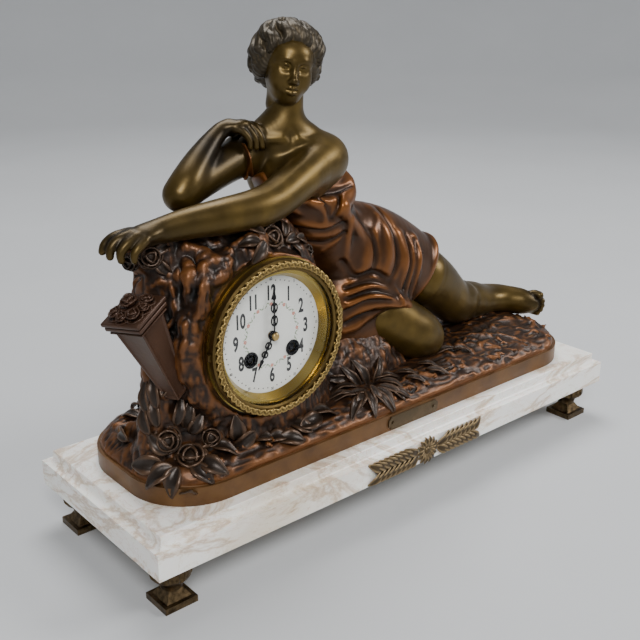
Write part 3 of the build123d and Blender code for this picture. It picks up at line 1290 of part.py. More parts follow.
def hand_outline(length, bore):
    """The outline of one hand, drawn along +x."""
    tip_start = length * hand_tip_share
    shoulder = tip_start + HAND_WIDTH
    with BuildSketch() as outline:
        Circle(HAND_BOSS_RADIUS)
        with Locations((length / 2, 0)):
            Rectangle(length - HAND_WIDTH, HAND_WIDTH / 2)
        Polygon((tip_start, 0), (shoulder, HAND_WIDTH), (length, 0), (shoulder, -HAND_WIDTH), align=None)
        for place_share, size_share in hand_scroll_shares:
            with Locations((length * place_share, 0)):
                Ellipse(length * size_share, 2 * HAND_WIDTH)
            with Locations((length * place_share, HAND_WIDTH), (length * place_share, -HAND_WIDTH)):
                Ellipse(length * size_share / 2, HAND_WIDTH / 2, mode=Mode.SUBTRACT)
        Circle(bore, mode=Mode.SUBTRACT)
    return outline.sketch


hour_bearing = 90.0 - 30.0 * HAND_HOUR
hour_outline = hand_outline(HOUR_HAND_REACH, HOUR_PIPE_RADIUS)
with BuildPart() as hour_hand:
    with BuildSketch(dial_plane(0.0, 0.0, hour_hand_back, hour_bearing)):
        add(hour_outline)
    extrude(amount=HAND_THICK)
hour_hand.part.label = "hour_hand"
export_step(hour_hand.part, "parts/hour_hand.step")

minute_hand_back = DIAL_FACE + hand_stack - HAND_THICK
minute_outline = hand_outline(MINUTE_HAND_REACH, CANNON_RADIUS)
with BuildPart() as minute_hand:
    with BuildSketch(dial_plane(0.0, 0.0, minute_hand_back, 90.0)):
        add(minute_outline)
    extrude(amount=HAND_THICK)
minute_hand.part.label = "minute_hand"
export_step(minute_hand.part, "parts/minute_hand.step")

nut_back = DIAL_FACE + hand_stack
with BuildPart() as hand_nut:
    with BuildSketch(dial_plane(0.0, 0.0, nut_back)):
        Circle(NUT_RADIUS)
    extrude(amount=NUT_HEIGHT)
    fillet(hand_nut.edges().group_by(Axis.Y)[0], radius=NUT_HEIGHT / 2)
    with BuildSketch(dial_plane(0.0, 0.0, nut_back)):
        Circle(ARBOR_RADIUS)
    extrude(amount=NUT_HEIGHT / 2 + RUNNING_FIT, mode=Mode.SUBTRACT)
hand_nut.part.label = "hand_nut"
export_step(hand_nut.part, "parts/hand_nut.step")

# Case back: ring in the rock, hinged cover with sound holes, and straps that draw ring and frame together
back_ring_face = CASE_BACK + BACK_RING_THICK
cover_front = back_ring_face + DOOR_GAP
back_hinge_depth = back_ring_face + HINGE_RADIUS
back_hinge_at = dial_point(-BACK_HINGE_REACH, 0.0, -back_hinge_depth)
back_hinge = Plane(origin=back_hinge_at, x_dir=(1, 0, 0), z_dir=(0, 0, 1))
strap_screw_places = (DIAL_FACE - SCREW_EDGE, SCREW_EDGE - CASE_BACK)
with BuildPart() as back_ring:
    with BuildSketch(turning_plane()):
        with BuildLine():
            Polyline(
                (SLEEVE_BORE, 2 * SCREW_EDGE - CASE_BACK),
                (SLEEVE_RADIUS, 2 * SCREW_EDGE - CASE_BACK),
                (SLEEVE_RADIUS, -CASE_BACK),
                (BACK_RING_RADIUS, -CASE_BACK),
                (BACK_RING_RADIUS, -back_ring_face),
                (SLEEVE_BORE, -back_ring_face),
                close=True,
            )
        make_face()
    revolve(axis=arbor_axis())
    with Locations(back_hinge):
        for end in (-1, 1):
            with Locations((0, 0, end * (knuckle_end + HINGE_KNUCKLE / 4))):
                Cylinder(HINGE_RADIUS, HINGE_KNUCKLE / 2)
                Box(2 * HINGE_RADIUS, HINGE_RADIUS + BACK_RING_THICK, HINGE_KNUCKLE / 2,
                    align=(Align.CENTER, Align.MAX, Align.CENTER))
        Cylinder(HINGE_PIN_RADIUS, 4 * HINGE_KNUCKLE, mode=Mode.SUBTRACT)
    strap_screw_at = dial_point(0.0, 0.0, strap_screw_places[1])
    with BuildSketch(Plane(origin=strap_screw_at, x_dir=(0, 1, 0), z_dir=(1, 0, 0))):
        Circle(STRAP_SCREW_RADIUS)
    extrude(amount=FRAME_RADIUS, both=True, mode=Mode.SUBTRACT)
back_ring.part.label = "back_ring"
export_step(back_ring.part, "parts/back_ring.step")

with BuildPart() as back_cover:
    with BuildSketch(dial_plane(0.0, 0.0, -cover_front)):
        Circle(BACK_DOOR_RADIUS)
        with PolarLocations(SOUND_CIRCLE, SOUND_HOLES):
            Circle(SOUND_HOLE_RADIUS, mode=Mode.SUBTRACT)
        Circle(2 * SOUND_HOLE_RADIUS, mode=Mode.SUBTRACT)
    extrude(amount=-BACK_DOOR_THICK)
    with Locations(back_hinge):
        Cylinder(HINGE_RADIUS - DOOR_GAP, HINGE_KNUCKLE)
        Box(BACK_HINGE_REACH - BACK_DOOR_RADIUS + HINGE_RADIUS, BACK_DOOR_THICK, HINGE_KNUCKLE,
            align=(Align.MIN, Align.MAX, Align.CENTER))
        Cylinder(HINGE_PIN_RADIUS + HINGE_FIT, 2 * HINGE_KNUCKLE, mode=Mode.SUBTRACT)
    with Locations(dial_point(BACK_DOOR_RADIUS - SCREW_EDGE, 0.0, -cover_front - BACK_DOOR_THICK)):
        Sphere(CATCH_REACH)
    with BuildSketch(dial_plane(0.0, 0.0, -back_ring_face)):
        Circle(BACK_DOOR_RADIUS)
    extrude(amount=-DOOR_GAP, mode=Mode.SUBTRACT)
back_cover.part.label = "back_cover"
export_step(back_cover.part, "parts/back_cover.step")

with BuildPart() as back_hinge_pin:
    with Locations(back_hinge):
        Cylinder(HINGE_PIN_RADIUS, 2 * knuckle_end + HINGE_KNUCKLE)
back_hinge_pin.part.label = "back_hinge_pin"
export_step(back_hinge_pin.part, "parts/back_hinge_pin.step")

strap_inside = SLEEVE_BORE - STRAP_THICK
with BuildPart() as straps:
    with BuildSketch(turning_plane()):
        with BuildLine():
            Polyline(
                (strap_inside, STRAP_SCREW_RADIUS - CASE_BACK),
                (SLEEVE_BORE, STRAP_SCREW_RADIUS - CASE_BACK),
                (SLEEVE_BORE, DIAL_FACE - STRAP_SCREW_RADIUS),
                (strap_inside, DIAL_FACE - STRAP_SCREW_RADIUS),
                close=True,
            )
        make_face()
    revolve(axis=arbor_axis())
    with Locations(dial_point(0.0, 0.0, 0.0)):
        Box(4 * SLEEVE_RADIUS, 4 * SLEEVE_RADIUS, STRAP_WIDTH, mode=Mode.INTERSECT)
    for forward in strap_screw_places:
        with BuildSketch(Plane(origin=dial_point(0.0, 0.0, forward), x_dir=(0, 1, 0), z_dir=(1, 0, 0))):
            Circle(STRAP_SCREW_RADIUS)
        extrude(amount=FRAME_RADIUS, both=True, mode=Mode.SUBTRACT)
straps.part.label = "straps"
export_step(straps.part, "parts/straps.step")

head_seat = strap_inside - GLASS_FIT
with BuildPart() as strap_screws:
    for forward in strap_screw_places:
        for side in (-1, 1):
            screw_seat = dial_point(side * SLEEVE_RADIUS, 0.0, forward)
            with Locations(Plane(origin=screw_seat, z_dir=(-side, 0, 0))):
                Cylinder(STRAP_SCREW_RADIUS, SLEEVE_RADIUS - head_seat, align=ON_BASE)
            with Locations(Plane(origin=dial_point(side * head_seat, 0.0, forward), z_dir=(-side, 0, 0))):
                Cylinder(STRAP_HEAD_RADIUS, STRAP_HEAD_THICK, align=ON_BASE)
strap_screws.part.label = "strap_screws"
export_step(strap_screws.part, "parts/strap_screws.step")

# Rock casting: drum housing for the clock, pendulum chamber and the seat of the figure
rock_crest = CLOCK_Z + ROCK_RISE
rock_height = rock_crest - BAND_TOP
rock_section_shares = (
    (0.00, 1.02, 1.12),
    (0.30, 0.97, 1.05),
    (0.60, 1.00, 1.00),
    (0.82, 1.00, 0.92),
    (0.94, 0.92, 0.76),
    (1.00, 0.72, 0.50),
)
seat_section_shares = ((0.00, 1.00, 1.00), (0.55, 0.90, 0.90), (1.00, 0.62, 0.62))
with BuildPart() as rock:
    for height_share, length_share, depth_share in rock_section_shares:
        with BuildSketch(Plane.XY.offset(BAND_TOP + rock_height * height_share)):
            with Locations((CLOCK_X, ROCK_BACKSET)):
                Ellipse(ROCK_HALF_LENGTH * length_share, ROCK_HALF_DEPTH * depth_share)
    loft()
    with BuildSketch(dial_plane(0.0, 0.0, DIAL_FACE)):
        Circle(BOSS_RADIUS)
    extrude(amount=-(DIAL_FACE + CASE_BACK))
    for height_share, length_share, depth_share in seat_section_shares:
        with BuildSketch(Plane.XY.offset(BAND_TOP + SEAT_RISE * height_share)):
            with Locations((SEAT_X, SEAT_BACKSET)):
                Ellipse(SEAT_HALF_LENGTH * length_share, SEAT_HALF_DEPTH * depth_share)
    loft()
    add(terrace.part, mode=Mode.SUBTRACT)
    with BuildSketch(dial_plane(0.0, 0.0, 2 * DIAL_FACE)):
        Circle(ROCK_BORE)
    extrude(amount=-4 * DIAL_FACE, mode=Mode.SUBTRACT)
    with BuildSketch(dial_plane(0.0, 0.0, DIAL_FACE)):
        Circle(BOSS_RADIUS + BOSS_CLEARANCE)
    extrude(amount=DIAL_FACE, mode=Mode.SUBTRACT)
    with BuildSketch(dial_plane(0.0, 0.0, -CASE_BACK)):
        Circle(BOSS_RADIUS + BOSS_CLEARANCE)
    extrude(amount=-DIAL_FACE, mode=Mode.SUBTRACT)
    chamber_foot = bob_at[1] - BOB_RADIUS - 3 * RATING_NUT_HEIGHT
    with BuildSketch(dial_plane(0.0, chamber_foot / 2, bob_middle + CHAMBER_DEPTH / 2)):
        Rectangle(2 * CHAMBER_HALF_WIDTH, -chamber_foot)
    extrude(amount=-CHAMBER_DEPTH, mode=Mode.SUBTRACT)
rock.part.label = "rock"
export_step(rock.part, "parts/rock.step")

# Square tapering pail that leans on the rock, with a moulded rim, a heap of flowers and a ring
with BuildPart() as pail_form:
    with BuildSketch(Plane.XY):
        Rectangle(PAIL_FOOT, PAIL_FOOT)
    with BuildSketch(Plane.XY.offset(PAIL_HEIGHT)):
        Rectangle(PAIL_TOP, PAIL_TOP)
    loft()
    with BuildSketch(Plane.XY.offset(PAIL_HEIGHT - PAIL_RIM)):
        Rectangle(PAIL_TOP + 2 * PAIL_RIM_PROUD, PAIL_TOP + 2 * PAIL_RIM_PROUD)
    extrude(amount=PAIL_RIM)
    with Locations((0, 0, PAIL_HEIGHT)):
        Sphere(PAIL_TOP / 2)
    with Locations(Location((PAIL_TOP / 2, 0, PAIL_HEIGHT - 3 * PAIL_RIM), (0, 90, 0))):
        Torus(PAIL_RING_RADIUS, PAIL_RING_WIRE)

with BuildPart() as flower_pail:
    pail_turn = (PAIL_LEAN_BACK, -PAIL_LEAN, PAIL_TURN)
    with Locations(Location((PAIL_X, PAIL_Y, BAND_TOP + PAIL_LIFT), pail_turn)):
        add(pail_form.part)
    add(rock.part, mode=Mode.SUBTRACT)
flower_pail.part.label = "flower_pail"
export_step(flower_pail.part, "parts/flower_pail.step")


# Figure, on stations given in head lengths from the middle of the terrace
def station(shares):
    """A place on the figure from its three shares of the head length."""
    return Vector(shares[0] * HEAD, shares[1] * HEAD, BAND_TOP + shares[2] * HEAD)


def limb(shares):
    """A smooth solid through oval sections square to a path: half depth, then half height."""
    places = [station(entry) for entry in shares]
    last = len(places) - 1
    with BuildPart() as form:
        for index, entry in enumerate(shares):
            run = places[min(index + 1, last)] - places[max(index - 1, 0)]
            with BuildSketch(Plane(origin=places[index], x_dir=(0, 1, 0), z_dir=run)):
                Ellipse(entry[3] * HEAD, entry[4] * HEAD)
        loft()
    return form.part


torso_shares = (
    (-0.16, 0.24, 2.44, 0.50, 0.62),
    (-0.44, 0.20, 2.72, 0.46, 0.58),
    (-0.88, 0.12, 3.24, 0.50, 0.62),
    (-1.24, 0.06, 3.72, 0.52, 0.70),
    (-1.44, 0.06, 4.12, 0.40, 0.70),
    (-1.50, 0.08, 4.40, 0.30, 0.44),
    (-1.48, 0.06, 4.60, 0.25, 0.27),
)
hip_shares = (
    (-0.28, 0.22, 2.64, 0.50, 0.62),
    (0.40, 0.26, 2.16, 0.72, 0.88),
    (1.16, 0.28, 1.84, 0.68, 0.80),
    (1.88, 0.24, 1.44, 0.56, 0.62),
    (2.28, 0.22, 1.20, 0.50, 0.52),
)
near_thigh_shares = (
    (0.00, 0.20, 1.48, 0.68, 0.68),
    (0.56, 0.00, 1.12, 0.60, 0.60),
    (0.96, -0.16, 0.84, 0.52, 0.52),
)
near_knee_shares = (
    (0.80, -0.10, 0.92, 0.46, 0.46),
    (1.12, -0.18, 0.72, 0.48, 0.48),
    (1.40, -0.24, 0.56, 0.40, 0.40),
)
far_leg_shares = (
    (2.08, 0.22, 1.32, 0.44, 0.42),
    (2.48, 0.22, 1.00, 0.42, 0.42),
    (2.82, 0.26, 0.76, 0.40, 0.40),
    (3.30, 0.40, 0.60, 0.36, 0.36),
    (3.76, 0.52, 0.46, 0.27, 0.27),
    (4.12, 0.54, 0.36, 0.18, 0.18),
    (4.32, 0.36, 0.32, 0.19, 0.18),
    (4.54, 0.04, 0.28, 0.21, 0.15),
    (4.70, -0.24, 0.24, 0.22, 0.10),
)
left_arm_shares = (
    (-0.76, -0.12, 4.16, 0.31, 0.31),
    (-1.20, -0.30, 4.02, 0.31, 0.31),
    (-1.76, -0.50, 3.80, 0.27, 0.27),
    (-2.48, -0.66, 3.56, 0.25, 0.24),
    (-3.00, -0.64, 3.52, 0.25, 0.22),
    (-3.60, -0.56, 3.50, 0.20, 0.18),
    (-4.10, -0.52, 3.48, 0.17, 0.13),
    (-4.40, -0.54, 3.44, 0.20, 0.12),
    (-4.64, -0.56, 3.34, 0.19, 0.10),
    (-4.76, -0.58, 3.20, 0.14, 0.09),
)
right_upper_arm_shares = (
    (-1.96, 0.28, 4.18, 0.30, 0.30),
    (-2.50, 0.14, 4.10, 0.26, 0.26),
    (-3.10, 0.00, 3.94, 0.24, 0.24),
    (-3.60, -0.12, 3.80, 0.23, 0.23),
)
right_forearm_shares = (
    (-3.60, -0.12, 3.80, 0.23, 0.23),
    (-3.30, -0.06, 4.04, 0.24, 0.22),
    (-2.90, 0.10, 4.32, 0.19, 0.17),
    (-2.56, 0.20, 4.48, 0.15, 0.13),
    (-2.30, 0.10, 4.58, 0.19, 0.10),
    (-2.00, -0.02, 4.48, 0.18, 0.09),
    (-1.84, -0.08, 4.38, 0.12, 0.08),
)
elbow_share = 0.25
neck_shares = ((-1.48, 0.06, 4.46, 0.25, 0.25), (-1.40, 0.00, 5.14, 0.23, 0.23))

neck_form = limb(neck_shares)
torso_form = limb(torso_shares)
with BuildPart() as figure_torso:
    add(torso_form)
    add(neck_form, mode=Mode.SUBTRACT)
    add(rock.part, mode=Mode.SUBTRACT)
figure_torso.part.label = "figure_torso"
export_step(figure_torso.part, "parts/figure_torso.step")

hip_form = limb(hip_shares)
near_thigh_form = limb(near_thigh_shares)
with BuildPart() as figure_skirt:
    add(hip_form)
    add(near_thigh_form)
    add(torso_form, mode=Mode.SUBTRACT)
    add(rock.part, mode=Mode.SUBTRACT)
    add(terrace.part, mode=Mode.SUBTRACT)
figure_skirt.part.label = "figure_skirt"
export_step(figure_skirt.part, "parts/figure_skirt.step")

near_knee_form = limb(near_knee_shares)
with BuildPart() as figure_near_leg:
    add(near_knee_form)
    with Locations(station(near_knee_shares[-1])):
        Sphere(near_knee_shares[-1][3] * HEAD)
    add(figure_skirt.part, mode=Mode.SUBTRACT)
    add(rock.part, mode=Mode.SUBTRACT)
    add(terrace.part, mode=Mode.SUBTRACT)
figure_near_leg.part.label = "figure_near_leg"
export_step(figure_near_leg.part, "parts/figure_near_leg.step")

far_leg_form = limb(far_leg_shares)
with BuildPart() as figure_far_leg:
    add(far_leg_form)
    add(figure_skirt.part, mode=Mode.SUBTRACT)
    add(terrace.part, mode=Mode.SUBTRACT)
figure_far_leg.part.label = "figure_far_leg"
export_step(figure_far_leg.part, "parts/figure_far_leg.step")

# Head: neck, a plain oval face and a cap of hair behind it
face_shares = (
    (-1.47, -0.20, 4.86, 0.12, 0.12),
    (-1.46, -0.16, 5.02, 0.28, 0.26),
    (-1.44, -0.12, 5.34, 0.36, 0.35),
    (-1.42, -0.10, 5.64, 0.35, 0.36),
    (-1.40, -0.08, 5.84, 0.26, 0.28),
)
hair_shares = (
    (-1.30, 0.24, 5.08, 0.26, 0.28),
    (-1.31, 0.18, 5.26, 0.46, 0.48),
    (-1.32, 0.12, 5.58, 0.53, 0.54),
    (-1.33, 0.08, 5.86, 0.45, 0.46),
    (-1.34, 0.06, 6.04, 0.22, 0.24),
)
face_form = limb(face_shares)
hair_form = limb(hair_shares)
with BuildPart() as figure_head:
    add(neck_form)
    add(face_form)
    add(hair_form)
figure_head.part.label = "figure_head"
export_step(figure_head.part, "parts/figure_head.step")

left_arm_form = limb(left_arm_shares)
with BuildPart() as figure_left_arm:
    add(left_arm_form)
    add(torso_form, mode=Mode.SUBTRACT)
    add(rock.part, mode=Mode.SUBTRACT)
figure_left_arm.part.label = "figure_left_arm"
export_step(figure_left_arm.part, "parts/figure_left_arm.step")

right_upper_form = limb(right_upper_arm_shares)
right_fore_form = limb(right_forearm_shares)
with BuildPart() as figure_right_arm:
    add(right_upper_form)
    add(right_fore_form)
    with Locations(station(right_forearm_shares[0])):
        Sphere(elbow_share * HEAD)
    add(torso_form, mode=Mode.SUBTRACT)
    add(figure_head.part, mode=Mode.SUBTRACT)
    add(figure_left_arm.part, mode=Mode.SUBTRACT)
    add(rock.part, mode=Mode.SUBTRACT)
figure_right_arm.part.label = "figure_right_arm"
export_step(figure_right_arm.part, "parts/figure_right_arm.step")
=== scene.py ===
"""Looks of the figural mantel clock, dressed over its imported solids.

Clay pieces are worked in millimetres in the part's own frame and cast as meshes in metres.
"""
import itertools
import math

import bmesh
import bpy
import numpy as np
import openvdb
from mathutils import Euler, Matrix, Vector


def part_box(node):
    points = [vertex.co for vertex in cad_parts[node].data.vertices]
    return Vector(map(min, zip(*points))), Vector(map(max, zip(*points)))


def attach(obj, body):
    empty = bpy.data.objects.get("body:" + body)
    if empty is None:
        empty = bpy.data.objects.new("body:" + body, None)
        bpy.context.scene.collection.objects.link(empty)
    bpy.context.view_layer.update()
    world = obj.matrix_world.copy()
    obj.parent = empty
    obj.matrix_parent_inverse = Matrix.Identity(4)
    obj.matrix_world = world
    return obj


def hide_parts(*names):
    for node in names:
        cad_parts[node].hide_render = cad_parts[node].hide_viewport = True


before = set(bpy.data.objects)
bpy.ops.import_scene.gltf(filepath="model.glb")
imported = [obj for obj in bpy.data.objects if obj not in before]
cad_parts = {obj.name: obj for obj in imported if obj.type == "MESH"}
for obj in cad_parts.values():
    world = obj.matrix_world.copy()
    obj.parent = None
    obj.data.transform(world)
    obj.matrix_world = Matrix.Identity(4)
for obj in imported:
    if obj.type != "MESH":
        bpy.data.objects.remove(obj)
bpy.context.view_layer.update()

MM = 0.001
SEED = 20


def node_box(node):
    """Lowest and highest corner of a solid, in millimetres."""
    low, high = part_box(node)
    return np.array(low) / MM, np.array(high) / MM


# Places taken from the solids
dial_low, dial_high = node_box("dial")
DIAL_X = (dial_low[0] + dial_high[0]) / 2
DIAL_Z = (dial_low[2] + dial_high[2]) / 2
DIAL_FACE = dial_low[1]
plinth_low, plinth_high = node_box("marble_plinth")
laurel_low, laurel_high = node_box("laurel_mount")
BAND_HEIGHT = 14.0
GROUND_Z = plinth_high[2] + BAND_HEIGHT

# The photographed camera, in millimetres and degrees
EYE = np.array((-509.9, -544.6, 413.0))
AZIMUTH = math.radians(-40.862)
ELEVATION = math.radians(20.476)
ROLL = 0.004
FOCAL = 942.476
FRAME_SIDE = 640
SENSOR = 36.0

backward = Vector((
    math.sin(AZIMUTH) * math.cos(ELEVATION),
    -math.cos(AZIMUTH) * math.cos(ELEVATION),
    math.sin(ELEVATION),
))
level_right = Vector((0, 0, 1)).cross(backward).normalized()
level_up = backward.cross(level_right)
sight_right = math.cos(ROLL) * level_right + math.sin(ROLL) * level_up
sight_up = math.cos(ROLL) * level_up - math.sin(ROLL) * level_right


def sight(pixel):
    """Direction from the eye through a pixel of the photograph."""
    across = (pixel[0] - FRAME_SIDE / 2) / FOCAL
    down = (pixel[1] - FRAME_SIDE / 2) / FOCAL
    return np.array(sight_right * across - sight_up * down - backward)


# Finishes: noise in lumps to the metre, depths of marks in metres
BLOTCHES, GRAINS, ENAMEL_CLOUDS = 45.0, 380.0, 60.0
PIT_DEPTH, MARK_DEPTH = 0.0006, 0.0003


def new_finish(name, **sockets):
    """A material with its shader's own sockets set."""
    finish = bpy.data.materials.new(name)
    finish.use_nodes = True
    shader = finish.node_tree.nodes["Principled BSDF"]
    for socket, value in sockets.items():
        shader.inputs[socket.replace("_", " ")].default_value = value
    return finish


def add_node(finish, kind, **settings):
    """A node in the finish; settings are sockets by name or node properties."""
    node = finish.node_tree.nodes.new(kind)
    for key, value in settings.items():
        if hasattr(node, key):
            setattr(node, key, value)
        else:
            node.inputs[key.replace("_", " ")].default_value = value
    return node


def join(finish, start, end):
    """Links one socket to another."""
    finish.node_tree.links.new(start, end)


def shader_of(finish):
    """The finish's own shader."""
    return finish.node_tree.nodes["Principled BSDF"]


def feed(finish, socket, value):
    """Links a colour or a value to one of the shader's sockets."""
    join(finish, value, shader_of(finish).inputs[socket])


def mottle(finish, scale, detail=4.0, rough=0.6, stretch=(1, 1, 1), warp=0.0):
    """Noise in the piece's own frame, scale in lumps to the metre."""
    place = add_node(finish, "ShaderNodeTexCoord")
    turn = add_node(finish, "ShaderNodeMapping")
    turn.inputs["Scale"].default_value = stretch
    noise = add_node(
        finish, "ShaderNodeTexNoise", Scale=scale, Detail=detail, Roughness=rough, Distortion=warp
    )
    join(finish, place.outputs["Object"], turn.inputs["Vector"])
    join(finish, turn.outputs["Vector"], noise.inputs["Vector"])
    return noise.outputs["Fac"]


def blend_of(finish, value, low, high):
    """Spreads a value from low..high to 0..1."""
    spread = add_node(finish, "ShaderNodeMapRange", From_Min=low, From_Max=high)
    join(finish, value, spread.inputs["Value"])
    return spread.outputs["Result"]


def sum_of(finish, first, second, share):
    """First plus a share of second."""
    node = add_node(finish, "ShaderNodeMath", operation="MULTIPLY_ADD")
    node.inputs[1].default_value = share
    join(finish, second, node.inputs[0])
    join(finish, first, node.inputs[2])
    return node.outputs["Value"]


def ramp(finish, value, *stops):
    """Colours by value; each stop is a place and a colour."""
    node = add_node(finish, "ShaderNodeValToRGB")
    elements = node.color_ramp.elements
    while len(elements) < len(stops):
        elements.new(0.5)
    for element, (place, colour) in zip(elements, stops):
        element.position = place
        element.color = (*colour, 1.0)
    join(finish, value, node.inputs["Fac"])
    return node.outputs["Color"]


def emboss(finish, height, strength, depth):
    """Bump on the shader's normal, depth in metres."""
    node = add_node(finish, "ShaderNodeBump", Strength=strength, Distance=depth)
    join(finish, height, node.inputs["Height"])
    feed(finish, "Normal", node.outputs["Normal"])


def patina(name, recess, body, ridge, metallic, rough, pits=0.25, speck=0.25, clouds=0.55):
    """Cast bronze: dark in the hollows, rubbed bright on the ridges, from the cast's wear attribute."""
    finish = new_finish(name, Metallic=metallic)
    wear = add_node(finish, "ShaderNodeAttribute", attribute_name="wear")
    blotch = mottle(finish, BLOTCHES, detail=2.0)
    fine = mottle(finish, GRAINS)
    value = sum_of(finish, wear.outputs["Fac"], blotch, clouds)
    value = sum_of(finish, value, fine, speck)
    centre = (clouds + speck) / 2
    value = blend_of(finish, value, centre - 1.0, centre + 1.0)
    middle = tuple((a + 2 * b) / 3 for a, b in zip(recess, body))
    bright = tuple((a + b) / 2 for a, b in zip(ridge, body))
    colour = ramp(finish, value, (0.12, recess), (0.38, middle), (0.52, body), (0.66, bright), (0.92, ridge))
    feed(finish, "Base Color", colour)
    gloss = ramp(finish, blotch, (0.3, (rough - 0.04,) * 3), (0.7, (rough + 0.06,) * 3))
    feed(finish, "Roughness", gloss)
    emboss(finish, fine, pits, PIT_DEPTH)
    return finish


def plain_metal(name, dark, light, rough, scale=160.0, metallic=1.0, pits=0.08):
    """Worked metal with slow colour change and fine marks."""
    finish = new_finish(name, Metallic=metallic)
    tone = mottle(finish, scale)
    colour = ramp(finish, tone, (0.30, dark), (0.70, light))
    feed(finish, "Base Color", colour)
    gloss = ramp(finish, tone, (0.3, (rough - 0.05,) * 3), (0.7, (rough + 0.07,) * 3))
    feed(finish, "Roughness", gloss)
    emboss(finish, tone, pits, MARK_DEPTH)
    return finish


skin_bronze = patina(
    "skin_bronze", (0.014, 0.009, 0.003), (0.078, 0.048, 0.009), (0.185, 0.115, 0.022), 0.70, 0.36,
    pits=0.08, speck=0.12, clouds=0.8,
)
drapery_bronze = patina(
    "drapery_bronze", (0.004, 0.003, 0.002), (0.054, 0.020, 0.005), (0.205, 0.071, 0.013), 0.58, 0.31,
    pits=0.05, speck=0.06,
)
hair_bronze = patina(
    "hair_bronze", (0.008, 0.006, 0.004), (0.046, 0.034, 0.018), (0.115, 0.084, 0.044), 0.60, 0.44,
    pits=0.10, speck=0.08,
)
rock_bronze = patina(
    "rock_bronze", (0.005, 0.004, 0.003), (0.029, 0.013, 0.006), (0.155, 0.057, 0.014), 0.45, 0.40, pits=0.35
)
pail_bronze = patina(
    "pail_bronze", (0.008, 0.005, 0.003), (0.058, 0.026, 0.013), (0.150, 0.064, 0.024), 0.40, 0.38, pits=0.20
)
flower_bronze = patina(
    "flower_bronze", (0.006, 0.004, 0.003), (0.026, 0.016, 0.010), (0.088, 0.046, 0.023), 0.45, 0.36
)
band_bronze = plain_metal(
    "band_bronze", (0.075, 0.034, 0.011), (0.150, 0.072, 0.022), 0.40, scale=45.0, metallic=0.45, pits=0.12
)
antique_bronze = patina(
    "antique_bronze", (0.012, 0.009, 0.006), (0.085, 0.058, 0.030), (0.260, 0.185, 0.095), 0.80, 0.40
)
gilt = patina("gilt", (0.016, 0.010, 0.005), (0.130, 0.084, 0.026), (0.400, 0.275, 0.095), 0.92, 0.34)
sight_brass = plain_metal(
    "sight_brass", (0.380, 0.275, 0.070), (0.440, 0.325, 0.090), 0.27, scale=14.0, pits=0.01
)
satin_brass = plain_metal(
    "satin_brass", (0.270, 0.175, 0.052), (0.340, 0.228, 0.074), 0.33, scale=30.0, pits=0.02
)
clock_brass = plain_metal(
    "clock_brass", (0.460, 0.310, 0.110), (0.600, 0.420, 0.170), 0.30, scale=40.0, pits=0.02
)
clock_steel = plain_metal(
    "clock_steel", (0.280, 0.285, 0.295), (0.420, 0.425, 0.440), 0.28, scale=40.0, pits=0.02
)
blued_black = plain_metal("blued_black", (0.003, 0.003, 0.004), (0.008, 0.008, 0.010), 0.34, metallic=0.2)
shader_of(blued_black).inputs["Specular IOR Level"].default_value = 0.2


def marble_finish():
    """White marble with cream clouds and thin tan veins."""
    finish = new_finish("veined_marble", Roughness=0.28, Subsurface_Weight=0.12, Subsurface_Scale=0.006)
    clouds = mottle(finish, 9.0, detail=6.0, rough=0.62, warp=0.8)
    vein_field = mottle(finish, 7.0, detail=9.0, rough=0.66, stretch=(0.7, 1.3, 1.9), warp=1.6)
    thin = mottle(finish, 17.0, detail=8.0, rough=0.7, stretch=(1.0, 0.8, 1.6), warp=2.2)
    white = (1, 1, 1)
    ground = ramp(
        finish, clouds, (0.30, (0.70, 0.62, 0.50)), (0.46, (0.86, 0.83, 0.77)), (0.75, (0.90, 0.89, 0.86))
    )
    veins = ramp(
        finish, vein_field,
        (0.455, white), (0.487, (0.74, 0.60, 0.45)), (0.496, (0.56, 0.40, 0.27)), (0.54, white),
    )
    hairs = ramp(finish, thin, (0.485, white), (0.5, (0.70, 0.58, 0.46)), (0.515, white))
    colour = ground
    for line, share in ((veins, 0.75), (hairs, 0.55)):
        mix = add_node(finish, "ShaderNodeMix", data_type="RGBA", blend_type="MULTIPLY")
        mix.inputs["Factor"].default_value = share
        join(finish, colour, mix.inputs[6])
        join(finish, line, mix.inputs[7])
        colour = mix.outputs[2]
    feed(finish, "Base Color", colour)
    emboss(finish, clouds, 0.05, 0.0005)
    return finish


veined_marble = marble_finish()
FOOT_PLATE, PLATE_EDGE = 3.0, 0.4


def footed_finish():
    """Antique bronze feet whose top plate is bright gilt."""
    finish = plain_metal("foot_bronze", (0.035, 0.024, 0.013), (0.170, 0.115, 0.058), 0.38, scale=260.0)
    place = add_node(finish, "ShaderNodeTexCoord")
    split = add_node(finish, "ShaderNodeSeparateXYZ")
    join(finish, place.outputs["Object"], split.inputs["Vector"])
    plate_foot = plinth_low[2] - FOOT_PLATE
    plate = blend_of(finish, split.outputs["Z"], plate_foot * MM, (plate_foot + PLATE_EDGE) * MM)
    mix = add_node(finish, "ShaderNodeMix", data_type="RGBA")
    join(finish, plate, mix.inputs["Factor"])
    colour = shader_of(finish).inputs["Base Color"].links[0].from_socket
    join(finish, colour, mix.inputs[6])
    mix.inputs[7].default_value = (0.62, 0.42, 0.15, 1.0)
    feed(finish, "Base Color", mix.outputs[2])
    return finish


foot_bronze = footed_finish()


def enamel_finish(name, dark, light, rough):
    """Fired enamel with a thin clear coat."""
    finish = new_finish(name, Roughness=rough, Coat_Weight=0.5, Coat_Roughness=0.08)
    tone = mottle(finish, ENAMEL_CLOUDS)
    feed(finish, "Base Color", ramp(finish, tone, (0.3, dark), (0.7, light)))
    return finish


